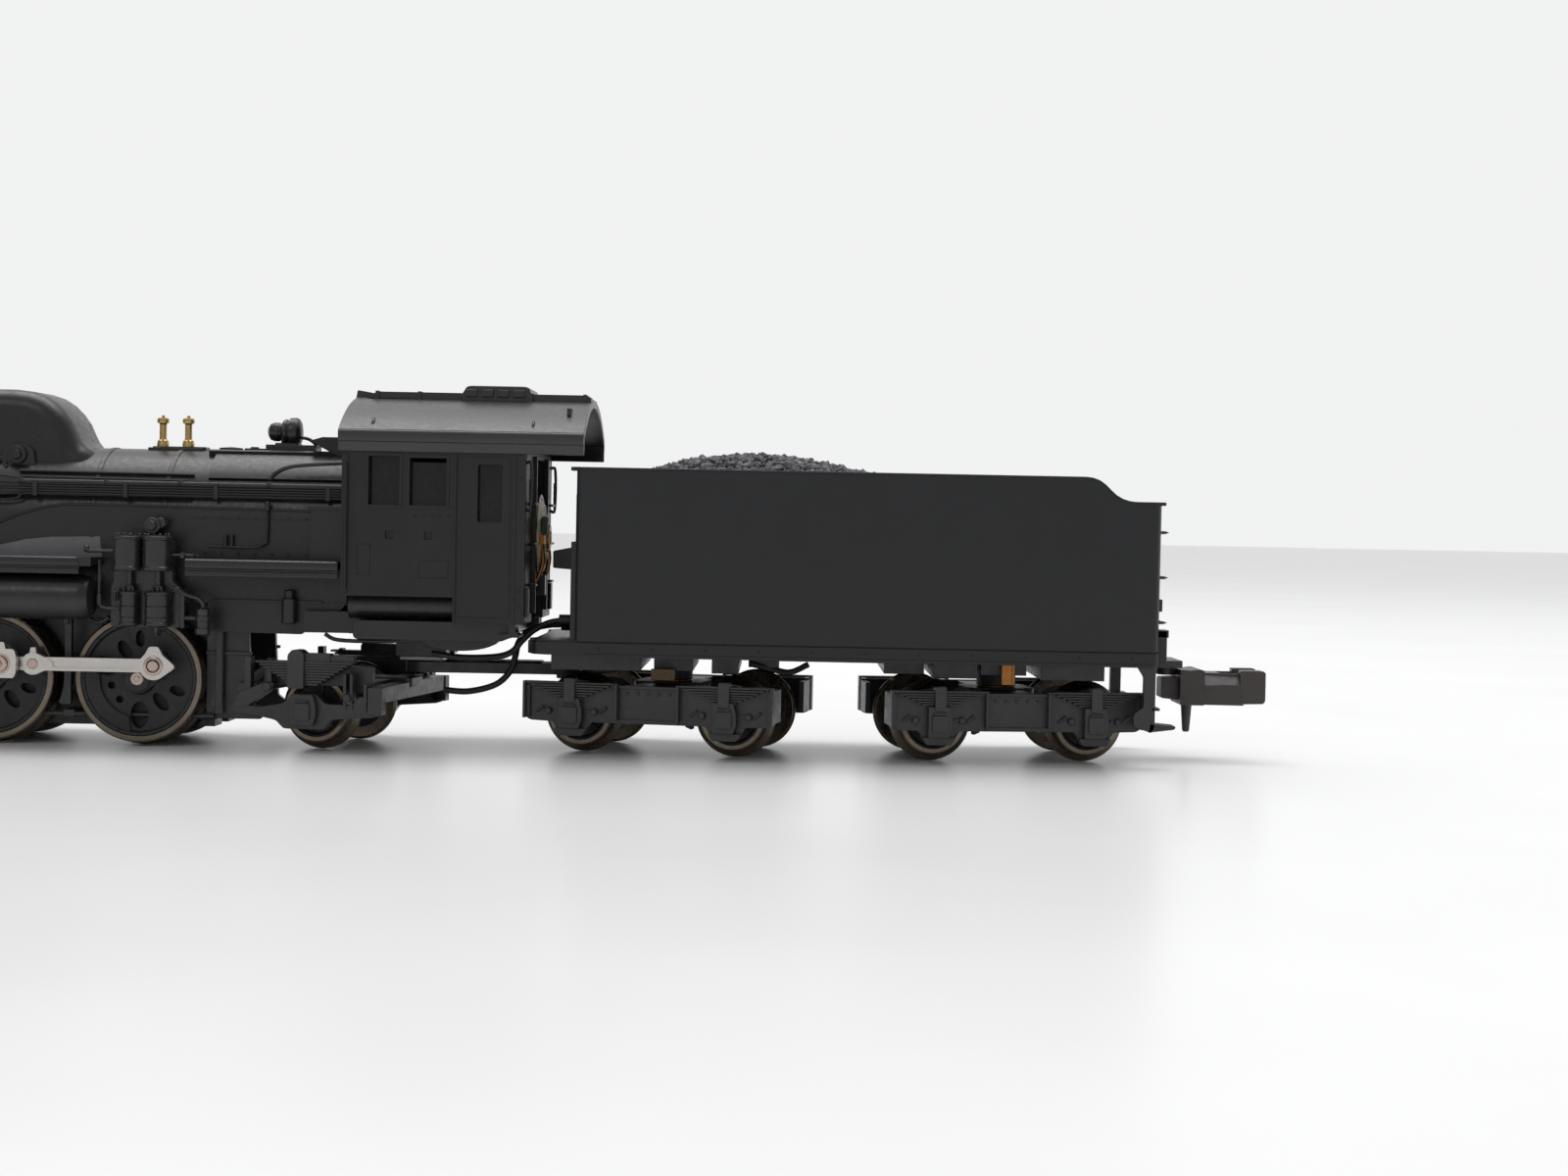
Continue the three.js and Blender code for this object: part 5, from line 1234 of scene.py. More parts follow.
def front_end():
    x0 = BOILER_X[0]
    door = Piece()
    door.lathe([(0, x0 - 1.55), (1.0, x0 - 1.52), (2.2, x0 - 1.4), (3.4, x0 - 1.1), (4.2, x0 - 0.7),
                (4.6, x0 - 0.42), (4.62, x0 - 0.3), (5.1, x0 - 0.28), (5.2, x0 - 0.1), (5.2, x0 + 0.4),
                (0, x0 + 0.4)], "X", 0, BOILER_Z, 64)
    door.lathe([(5.15, x0 - 0.15), (5.9, x0 - 0.1), (6.1, x0 + 0.1), (6.1, x0 + 0.5), (5.15, x0 + 0.5)], "X",
               0, BOILER_Z, 64)
    for k in range(18):
        y, z = polar(20 * k + 10, 4.86)
        door.rod(0.14, "X", y, BOILER_Z + z, x0 - 0.42, x0 - 0.2, sides=10)
        y, z = polar(20 * k, 5.62)
        door.rod(0.1, "X", y, BOILER_Z + z, x0 - 0.22, x0 + 0.0, sides=8, edge=0.03)
    for z in (BOILER_Z - 1.7, BOILER_Z + 1.7):
        door.box(x0 - 1.35, x0 - 0.9, 0.6, 3.9, z - 0.2, z + 0.2)
    door.rod(0.3, "Z", x0 - 0.75, 4.6, BOILER_Z - 2.3, BOILER_Z + 2.3, sides=14)
    door.rod(0.55, "X", 0, BOILER_Z, x0 - 1.75, x0 - 1.4, sides=24)
    door.rod(0.9, "X", 0, BOILER_Z, x0 - 1.62, x0 - 1.4, sides=28)
    door.tube([(x0 - 1.85, 0, BOILER_Z), (x0 - 1.95, -0.9, BOILER_Z + 0.7)], 0.12, 8)
    door.tube([(x0 - 1.75, 0, BOILER_Z), (x0 - 1.85, 0.2, BOILER_Z - 1.1)], 0.12, 8)
    door.tube([(x0 - 0.7, -3.6, BOILER_Z + 3.2), (x0 - 1.0, -2, BOILER_Z + 4.0),
               (x0 - 1.0, 2, BOILER_Z + 4.0), (x0 - 0.7, 3.6, BOILER_Z + 3.2)], 0.13, 8, 4)
    door.done("smokebox_front", BODY, bevel=0.04, replaces=["smokebox_door"])

    stack = Piece()
    x = centre("chimney").x
    stack.lathe([(1.12, 23.4), (1.12, 26.25), (1.3, 26.42), (1.62, 26.42), (1.78, 26.3), (1.8, 26.0),
                 (1.66, 25.75), (1.46, 25.4), (1.4, 24.6), (1.42, 23.8), (1.52, 23.2), (1.8, 22.7),
                 (2.15, 22.2), (2.3, 21.4), (1.12, 21.4)], "Z", x, 0, 48)
    stack.done("chimney_stack", BODY, bevel=0.03, replaces=["chimney"])
    heater = Piece()
    hx, hz = -61.2, 24.4
    heater.lathe([(0, -5.4), (1.2, -5.3), (1.75, -5.0), (2.0, -4.5), (2.0, 4.5), (1.75, 5.0), (1.2, 5.3),
                  (0, 5.4)], "Y", hx, hz, 48)
    for y in (-4.4, -1.7, 1.5, 4.2):
        heater.lathe([(1.9, y), (2.08, y), (2.08, y + 0.25), (1.9, y + 0.25)], "Y", hx, hz, 48)
    for _, side in SIDES:
        heater.box(-62.3, -60.1, *on(side, 1.4, 2.4), 22.0, 23.4)
        heater.tube([(hx, side * 5.2, hz - 0.3), (hx + 0.2, side * 6.0, hz - 1.0),
                     (hx + 0.3, side * 6.35, 21.5), (hx + 0.5, side * 6.5, 18.8)], 0.35, 12, 5)
        heater.rod(0.6, "Y", hx, hz, *on(side, 5.2, 5.5), sides=24)
    heater.done("feedwater_heater_drum", BODY, bevel=0.03, replaces=["feedwater_heater"])
    lamp = Piece()
    lamp.lathe([(0.86, -65.2), (0.95, -65.62), (1.1, -65.6), (1.15, -65.4), (1.05, -64.5), (0.85, -63.95),
                (0.4, -63.8), (0, -63.8), (0, -65.2)], "X", 0, 23.3, 40)
    lamp.box(-64.8, -62.4, -0.4, 0.4, 21.2, 22.5)
    lamp.prism(rounded([(-65.0, -0.8), (-63.9, -0.8), (-63.9, 0.8), (-65.0, 0.8)], 0.2), "Z", 22.1, 22.35)
    lamp.done("headlamp_case", BODY, bevel=0.03, replaces=["headlamp"])
    lens = Piece().lathe([(0, -65.1), (0.85, -65.1), (0.86, -65.3), (0.5, -65.45), (0, -65.5)], "X", 0, 23.3,
                         32)
    lens.done("headlamp_lens", LAMP_LENS, bevel=0)


def top_fittings():
    valves, base = Piece(), Piece()
    for x in (-11.45, -9.5):
        valves.lathe([(0, 22.45), (0.46, 22.45), (0.46, 22.75), (0.42, 22.85), (0.42, 22.95), (0.3, 23.05),
                      (0.27, 23.2), (0.27, 24.2), (0.33, 24.28), (0.44, 24.32), (0.46, 24.5), (0.44, 24.66),
                      (0.3, 24.72), (0.12, 24.75), (0.12, 24.9), (0, 24.92)], "Z", x, 0, 32)
        base.lathe([(0, 22.2), (0.62, 22.2), (0.62, 22.5), (0, 22.5)], "Z", x, 0, 28)
    valves.done("safety_valve_pair", BRASS, bevel=0, angle=30, replaces=["safety_valves"])
    base.prism(rounded([(-12.4, -0.95), (-8.1, -0.95), (-8.1, 0.95), (-12.4, 0.95)], 0.3), "Z", 21.9, 22.42)
    base.box(-12.05, -8.0, -0.7, 0.7, 22.3, 22.52)
    base.lathe([(0, 21.9), (0.9, 21.9), (0.9, 22.5), (0, 22.6)], "Z", -6.2, 0, 24)
    base.box(-5.1, -2.9, -0.4, 0.4, 22.1, 22.5)
    base.rod(0.35, "Z", -4.4, 0, 22.2, 22.62, sides=16)
    base.box(-3.3, 0.5, -1.2, 1.2, 21.9, 22.8)
    base.done("firebox_top_pads", BOILER_PAINT)
    drum = Piece()
    drum.lathe([(0, -3.35), (0.35, -3.33), (0.62, -3.15), (0.72, -2.85), (0.72, -2.5), (0.66, -2.42),
                (0.66, -2.3), (0.86, -2.2), (0.98, -2.05), (0.98, -1.85), (0.9, -1.8), (0.9, -1.7),
                (1.1, -1.64), (1.12, -1.2), (1.05, -1.0), (0.8, -0.85), (0.4, -0.78), (0, -0.76)], "X", 0,
               23.8, 40)
    drum.box(-2.3, -1.3, -0.42, 0.42, 22.4, 23.4)
    drum.prism(rounded([(-2.7, -0.8), (-0.9, -0.8), (-0.9, 0.8), (-2.7, 0.8)], 0.2), "Z", 22.6, 22.95)
    drum.tube([(-0.9, 0, 23.4), (-0.3, 0.1, 23.3), (0.2, 0.3, 22.9), (0.3, 0.4, 22.3)], 0.14, 8, 4)
    drum.done("turbo_generator_set", BOILER_PAINT, bevel=0.03, replaces=["turbo_generator"])


# ---------- running boards and what hangs from them ----------
def running_board(label, side):
    node = f"running_board_{label}"
    board = Piece()
    spans = [(-67.8, -14.1), (-7.25, 3.9)] if side < 0 else [(-67.8, 3.9)]
    for x0, x1 in spans:
        board.box(x0, x1, 6.3, 9.15, 13.5, 14.05)
        edge = [(9.0, 12.85), (9.22, 12.85), (9.28, 12.95), (9.28, 13.22), (9.16, 13.28), (9.16, 13.4),
                (9.3, 13.46), (9.34, 13.7), (9.3, 14.0), (9.16, 14.12), (9.0, 14.12)]
        front = x0
        rear = x1 - (0.9 if (side < 0 and x1 < -10) else 0)
        board.prism(edge, "X", front, rear)
        board.box(rear - 0.2, x1, 8.9, 9.26, 13.42, 14.12)
        count = int((x1 - x0) / 4.2)
        for k in range(count):
            board.box(x0 + 1 + 4.2 * k, x0 + 1.3 + 4.2 * k, 6.4, 9.1, 13.2, 13.55)
    for k in range(9):
        x = -60 + 5.2 * k
        board.tube([(x, 8.7, 13.5), (x, 7.2, 12.4), (x, 6.4, 12.1)], 0.14, 8, 3)
    board.mirrored(side).done(f"{node}_plate", BODY, bevel=0.04, angle=30, replaces=[node])


def air_tank(label, side):
    node = f"air_tank_{label}"
    tank, straps = Piece(), Piece()
    tank.lathe([(0, -41), (0.8, -40.9), (1.35, -40.6), (1.62, -40.1), (1.66, -39.6), (1.66, -15.2),
                (1.6, -14.85), (1.35, -14.45), (0.8, -14.16), (0, -14.1)], "X", 7.75, 11.12, 48)
    for x in (-37.5, -29.3, -27.6):
        straps.lathe([(1.6, x), (1.74, x), (1.74, x + 0.35), (1.6, x + 0.35)], "X", 7.75, 11.12, 48)
        straps.box(x + 0.02, x + 0.33, 7.5, 8.0, 12.6, 13.6)
    straps.rod(0.25, "Z", -16.3, 7.75, 9.1, 9.6, sides=12)
    straps.tube([(-15.4, 7.2, 10.0), (-14.6, 7.2, 9.4), (-13.9, 7.3, 9.3), (-13.2, 7.6, 9.7)], 0.16, 8, 4)
    tank.mirrored(side).done(f"{node}_drum", BODY, bevel=0, angle=30, replaces=[node])
    straps.mirrored(side).done(f"{node}_straps", BODY, bevel=0.02)


def feedwater_pump():
    pump, trim = Piece(), Piece()
    for x in (-11.68, -9.52):
        pump.lathe([(0, 15.78), (0.85, 15.76), (1.1, 15.66), (1.12, 15.45), (1.04, 15.38), (1.04, 13.5),
                    (1.12, 13.42), (1.12, 13.22), (1.0, 13.14), (0, 13.14)], "Z", x, -8.4, 36)
        for k in range(6):
            a, b = polar(60 * k, 0.86)
            trim.rod(0.1, "Z", x + a, -8.4 + b, 15.6, 15.9, sides=8, edge=0.03)
    for x, radius in ((-11.5, 0.66), (-9.4, 0.93)):
        pump.lathe([(0, 11.72), (radius - 0.14, 11.7), (radius + 0.06, 11.6), (radius + 0.06, 11.42),
                    (radius, 11.36), (radius, 10.62), (radius - 0.06, 10.58), (radius, 10.54), (radius, 9.8),
                    (radius - 0.06, 9.76), (radius, 9.72), (radius, 9.4), (radius + 0.06, 9.34),
                    (radius + 0.06, 9.16), (radius - 0.2, 9.08), (0, 9.08)], "Z", x, -8.45, 36)
        pump.rod(0.2, "Z", x, -8.45, 11.6, 13.3, sides=14)
        trim.rod(0.3, "Z", x, -8.45, 11.65, 12.1, sides=12)
        trim.tube([(x - 0.32, -8.8, 11.6), (x - 0.3, -8.8, 12.0), (x + 0.3, -8.8, 12.0),
                   (x + 0.32, -8.8, 11.6)], 0.09, 8, 4)
    pump.prism(rounded([(-13.0, 9.0), (-7.9, 9.0), (-7.9, 11.9), (-8.5, 12.4), (-8.5, 15.4), (-12.8, 15.4),
                        (-12.8, 12.4), (-13.0, 11.9)], 0.2), "Y", -7.9, -7.0)
    pump.box(-7.75, -7.45, -8.5, -7.0, 9.0, 11.8)
    pump.lathe([(0, 8.48), (0.42, 8.5), (0.56, 8.6), (0.58, 9.0), (0.5, 9.04), (0.5, 9.5), (0.56, 9.55),
                (0.56, 9.9), (0.5, 9.95), (0.52, 10.4), (0.4, 10.5), (0, 10.52)], "Z", -6.14, -8.2, 28)
    pump.rod(0.62, "Y", -10.16, 16.46, -7.6, -5.9, sides=28)
    pump.rod(0.42, "Y", -9.6, 16.66, -7.4, -5.9, sides=24)
    pump.rod(0.4, "Y", -10.16, 16.46, -7.85, -7.4, sides=8)
    trim.tube([(-14.85, -8.2, 14.7), (-14.7, -8.2, 14.55), (-14.2, -8.2, 14.55), (-12.8, -8.2, 14.55)], 0.14,
              8, 4)
    trim.rod(0.2, "Z", -14.75, -8.2, 14.5, 14.95, sides=10)
    trim.tube([(-13.75, -8.3, 13.9), (-13.75, -8.3, 11.5), (-13.75, -8.35, 10.8), (-13.5, -8.4, 10.45),
               (-12.9, -8.45, 10.35), (-12.2, -8.45, 10.35)], 0.13, 8, 4)
    trim.rod(0.2, "Z", -13.75, -8.3, 10.6, 11.4, sides=10)
    trim.tube([(-12.55, -8.45, 10.9), (-12.55, -8.45, 11.6), (-12.2, -8.45, 11.75)], 0.14, 8, 4)
    trim.tube([(-8.4, -8.3, 14.35), (-7.2, -8.3, 14.35), (-6.6, -8.2, 14.3)], 0.1, 8, 3)
    for x, radius in ((-7.65, 0.27), (-6.85, 0.18)):
        trim.lathe([(0, -8.55), (radius * 0.7, -8.5), (radius, -8.3), (radius * 0.7, -8.1), (0, -8.05)], "Y",
                   x, 14.33, 16)
    trim.tube([(-8.4, -8.5, 11.95), (-7.9, -8.6, 11.9), (-7.55, -8.6, 11.6), (-7.1, -8.5, 11.4),
               (-6.5, -8.3, 11.2), (-6.16, -8.2, 10.8), (-6.14, -8.2, 10.3)], 0.16, 10, 4)
    trim.tube([(-7.6, -8.3, 9.75), (-6.6, -8.2, 9.75)], 0.16, 8)
    trim.tube([(-9.4, -8.9, 9.2), (-9.4, -8.8, 8.7), (-9.4, -8.0, 8.6)], 0.2, 8, 4)
    pump.done("feedwater_pump_body", PUMP, bevel=0.03, angle=30, replaces=["feedwater_pump"])
    trim.done("feedwater_pump_pipes", PUMP, bevel=0)


def air_compressor():
    x, y = centre("air_compressor").x, 7.75
    pump = Piece()
    for low_z, high_z, radius in ((16.2, 19, 1.28), (14.4, 16.0, 1.05)):
        fins = []
        z = low_z
        while z < high_z - 0.2:
            fins += [(radius, z), (radius, z + 0.14), (radius - 0.12, z + 0.16), (radius - 0.12, z + 0.26)]
            z += 0.28
        pump.lathe([(0, low_z), *fins, (radius, high_z - 0.1), (radius - 0.2, high_z), (0, high_z)], "Z", x,
                   y, 36)
    pump.rod(0.35, "Z", x, y, 15.8, 16.4, sides=16)
    pump.rod(0.5, "Z", x, y, 18.8, 19.4, sides=20)
    pump.box(x - 1.2, x + 1.2, 6.1, 7.2, 14.2, 18.4)
    pump.box(x - 1.1, x + 1.1, 6.9, 8.7, 14.1, 14.5)
    pump.tube([(x + 1.0, y, 18.4), (x + 2.0, y - 0.3, 18.4), (x + 2.6, 6.6, 17.6), (x + 2.8, 6.3, 15)], 0.18,
              8, 4)
    pump.done("air_compressor_body", BODY, bevel=0.02, angle=30, replaces=["air_compressor"])


# ---------- cylinders, slide bars and pilot ----------
def cylinder(label, side):
    node = f"cylinder_{label}"
    block, bars = Piece(), Piece()
    y = 7.5
    block.lathe([(0, -58.55), (0.9, -58.5), (1.5, -58.4), (1.86, -58.2), (1.9, -58.0), (1.9, -57.6),
                 (1.78, -57.5), (1.78, -51.8), (1.9, -51.7), (1.9, -51.2), (1.86, -51.0), (1.5, -50.75),
                 (0.7, -50.7), (0.7, -50.2), (0, -50.2)], "X", y, AXLE_Z, 40)
    block.lathe([(0, -59.3), (0.6, -59.25), (1.1, -59.0), (1.28, -58.7), (1.3, -58.3), (1.2, -58.2),
                 (1.2, -51.0), (1.3, -50.9), (1.28, -50.6), (1.0, -50.2), (0.5, -50.0), (0.5, -49.4),
                 (0, -49.4)], "X", y, 9.2, 36)
    jacket = rounded([(5.9, 4.6), (9.0, 4.9), (9.15, 6.2), (8.9, 9.3), (8.4, 10.2), (5.9, 10.2)], 0.4)
    block.prism(jacket, "X", -57.7, -51.4)
    block.box(-57.9, -51.3, 3.3, 6.6, 7.4, 10.0)
    for x0, x1, radius, z, ring in ((-58.6, -58.3, 1.5, AXLE_Z, 10), (-59.0, -58.6, 0.95, 9.2, 8)):
        for k in range(ring):
            a, b = polar(360 / ring * k, radius)
            block.rod(0.12, "X", y + a, z + b, x0 - 0.05, x1, sides=8, edge=0.03)
    for z in (3.85, 6.02):
        bars.prism(rounded([(-51.2, z), (-43.6, z), (-43.6, z + 0.32), (-51.2, z + 0.32)], 0.08, 2), "Y",
                   8.3, 8.93)
    bars.prism(rounded([(-44.1, 3.8), (-43.4, 3.8), (-43.4, 12.9), (-44.6, 12.9), (-44.6, 10.5),
                        (-44.1, 9.5)], 0.15, 3), "Y", 8.3, 8.93)
    bars.prism(rounded([(-44.6, 12.0), (-40.5, 12.0), (-39.6, 12.9), (-44.6, 12.9)], 0.15, 3), "Y", 8.35,
               8.85)
    link = arc(-41.8, 8.4, 1.7, 60, 300, 14) + arc(-41.5, 8.4, 1.25, 300, 60, 14)
    bars.prism(link, "Y", 8.3, 8.8)
    bars.tube([(-49.4, 8.55, 9.2), (-46, 8.55, 9.0), (-42.6, 8.55, 8.7)], 0.22, 8, 2)
    gland = Piece().rod(0.5, "X", 8.6, AXLE_Z, -57, -49).mirrored(side)
    block.mirrored(side).done(f"{node}_block", BODY, bevel=0.04, angle=30, replaces=[node], cuts=gland)
    bars.mirrored(side).done(f"{node}_slide_bars", NICKEL, bevel=0.03, replaces=[node])


def crosshead(label, side):
    node = f"crosshead_{label}"
    x = high(node).x - 1.2
    shoe = Piece()
    outline = [(x - 1.2, 4.28), (x + 1.2, 4.28), (x + 1.2, 4.62), (x + 0.6, 4.8), (x + 0.6, 5.35),
               (x + 1.2, 5.55), (x + 1.2, 5.87), (x - 1.2, 5.87), (x - 1.2, 5.55), (x - 0.75, 5.35),
               (x - 0.75, 4.8), (x - 1.2, 4.62)]
    shoe.prism(rounded(outline, 0.08, 2), "Y", 8.36, 8.88)
    shoe.rod(0.27, "X", 8.6, AXLE_Z, x - 5.4, x - 0.6, sides=20)
    shoe.rod(0.42, "X", 8.6, AXLE_Z, x - 1.5, x - 0.6, sides=20)
    shoe.rod(0.35, "Y", x, AXLE_Z, 8.25, 9.08, sides=24)
    shoe.mirrored(side).done(f"{node}_shoe", NICKEL, body=node, bevel=0.03, replaces=[node])


def pilot():
    piece, rails = Piece(), Piece()
    piece.prism(rounded([(-69.0, 8.2), (-67.9, 8.2), (-67.9, 12.4), (-69.0, 12.4)], 0.15, 3), "Y", -9, 9)
    piece.prism(rounded([(-67.9, -6.2), (-64.3, -6.2), (-64.3, 6.2), (-67.9, 6.2)], 0.3), "Z", 12.35, 13.0)
    piece.box(-68.2, -66.1, -3, 3, 8.6, 12.5)
    for _, side in SIDES:
        guard = [(-68.6, 2.0), (-68.0, 2.0), (-67.7, 3.4), (-67.7, 8.4), (-68.6, 8.4)]
        piece.prism(rounded(guard, 0.1, 2), "Y", *on(side, 7.9, 8.6))
        piece.prism(rounded(guard, 0.1, 2), "Y", *on(side, 3.6, 4.2))
        piece.box(-68.8, -67.6, *on(side, 3.6, 8.6), 4.3, 4.6)
        piece.box(-69.1, -67.5, *on(side, 6.2, 8.7), 6.3, 6.55)
        piece.rod(0.5, "X", side * 6.2, 10.6, -69.25, -68.9, sides=20)
        piece.rod(0.75, "X", side * 6.2, 10.6, -69.1, -68.9, sides=24)
        for z in (8.7, 11.9):
            for k in range(4):
                piece.rod(0.12, "X", side * (1.4 + 2.2 * k), z, -69.1, -68.9, sides=8, edge=0.03)
        rails.tube([(-68.6, side * 8.5, 12.3), (-68.6, side * 8.5, 14.6), (-68.2, side * 8.4, 15.0),
                    (-67.6, side * 8.2, 14.6), (-67.6, side * 8.2, 13.6)], 0.13, 8, 5)
        rails.tube([(-66.8, side * 6.4, 13.0), (-65.6, side * 5.6, 16.5), (-64.2, side * 5.0, 18.0)], 0.2, 8,
                   4)
        rails.tube([(-69.0, side * 5.2, 9.4), (-69.5, side * 5.2, 9.0), (-69.5, side * 5.2, 7.0),
                    (-69.2, side * 5.2, 6.0)], 0.17, 8, 5)
    piece.done("pilot_beam_plate", BODY, replaces=["pilot_beam"])
    rails.done("pilot_rails", BODY, bevel=0)


def deflector_supports():
    piece = Piece()
    for _, side in SIDES:
        for x in (-64.6, -57.2):
            piece.tube([(x, side * 8.75, 20.4), (x, side * 6.0, 20.2)], 0.15, 8)
        piece.box(-66.3, -55.2, *on(side, 9.05, 9.2), 21.5, 21.75)
        piece.box(-66.5, -66.2, *on(side, 9.05, 9.2), 14.3, 21.6)
        piece.tube([(-64.6, side * 9.25, 16.2), (-64.6, side * 9.35, 16.4), (-64.6, side * 9.35, 19.0),
                    (-64.6, side * 9.2, 19.2)], 0.1, 8, 4)
    piece.done("deflector_stays", BODY, bevel=0.02)


def brakes():
    """Brake shoes and hangers between the drivers, and the guides under the frames."""
    piece = Piece()
    for _, side in SIDES:
        for x in (-39.2, -28.1, -17.0, -5.7):
            shoe = arc(x - 5.55, AXLE_Z, 5.3, -22, 12, 8) + arc(x - 5.55, AXLE_Z, 5.75, 12, -22, 8)
            piece.prism(shoe, "Y", *on(side, 4.2, 5.2))
            piece.prism(rounded([(x - 0.15, 3.0), (x + 0.35, 3.0), (x + 0.35, 10.6), (x - 0.15, 10.6)], 0.12,
                                2), "Y", *on(side, 4.9, 5.4))
        piece.tube([(-47, side * 5.1, 2.3), (-6, side * 5.1, 2.3)], 0.2, 8)
        for x in (-39.1, -28.0, -16.9):
            piece.box(x - 0.3, x + 0.5, *on(side, 3.3, 5.3), 2.1, 2.6)
        for x in (-40.5, -27, -14):
            piece.tube([(x, side * 5.6, 12.6), (x + 0.4, side * 5.8, 11.6), (x + 0.5, side * 5.8, 10.8)],
                       0.16, 8, 4)
        piece.box(-8.2, -6.4, *on(side, 1.0, 3.2), 1.35, 1.9)
    piece.done("brake_rigging", FRAME, bevel=0.03)


boiler()
handrails()
pipe_bundle()
dome()
front_end()
top_fittings()
for label, side in SIDES:
    running_board(label, side)
    air_tank(label, side)
    cylinder(label, side)
    crosshead(label, side)
feedwater_pump()
air_compressor()
pilot()
deflector_supports()
brakes()


# ---------- chassis halves ----------
def chassis():
    axles = [centre(f"driver_wheelset_{k}").x for k in (1, 2, 3, 4)]
    bottom = low("chassis_left").z
    slots = []
    for x in axles:
        slots += [(x - 0.85, bottom), *arc(x, AXLE_Z, 0.85, 180, 0, 10), (x + 0.85, bottom)]
    outline = [(-66, 6.6), (-48.5, 6.6), (-48.5, bottom), *slots, (-6.2, bottom), (-5.4, 8.7), (7.2, 8.7),
               (7.2, 6.95), (11.0, 6.95), (11.0, 8.7), (15.6, 8.7), (15.6, 12.6), (-18, 12.6), (-18, 19.5),
               (-60, 19.5), (-60, 10.6), (-66, 10.6)]
    for label, side in SIDES:
        node = f"chassis_{label}"
        inner, outer = sorted(abs(v) for v in (low(node).y, high(node).y))
        half = Piece().prism(outline, "Y", inner, outer)
        for x in axles[:-1]:
            half.box(x + 3.2, x + 7.6, outer - 0.1, outer + 0.15, 6.6, 9.4)
        half.mirrored(side).done(f"{node}_casting", FRAME, replaces=[node])
        rear = Piece()
        plate = [(-6.7, 2.1), (-2.6, 2.1), (-2.4, 2.6), (-3.3, 3.3), (-3.6, 8.9), (-6.7, 8.9)]
        rear.prism(rounded(plate, 0.12, 2), "Y", 4.15, 4.75)
        rear.prism(rounded([(-5.9, 2.5), (-5.3, 2.5), (-5.3, 8.7), (-5.9, 8.7)], 0.1, 2), "Y", 4.7, 5.3)
        if side < 0:
            rear.prism(rounded([(-4.6, 3.6), (-4.2, 3.6), (-1.3, 6.3), (-1.7, 6.7), (-4.6, 4.4)], 0.12, 2),
                       "Y", 4.7, 5.2)
        rear.box(-6.7, -3.3, 4.7, 5.0, 6.9, 7.15)
        rear.mirrored(side).done(f"rear_frame_plate_{label}", FRAME)


# ---------- cab ----------
CAB_X, CAB_Y, CAB_WALL_TOP = (4.09, 17.49), 9.2, 22.6
CAB_FRONT_Z, CAB_REAR_Z = 11.66, 9.76
CAB_WINDOWS = ((6.02, 8.31, 18.3, 21.9), (9.02, 11.74, 18.3, 21.8), (14.0, 15.8, 17.2, 21.4))


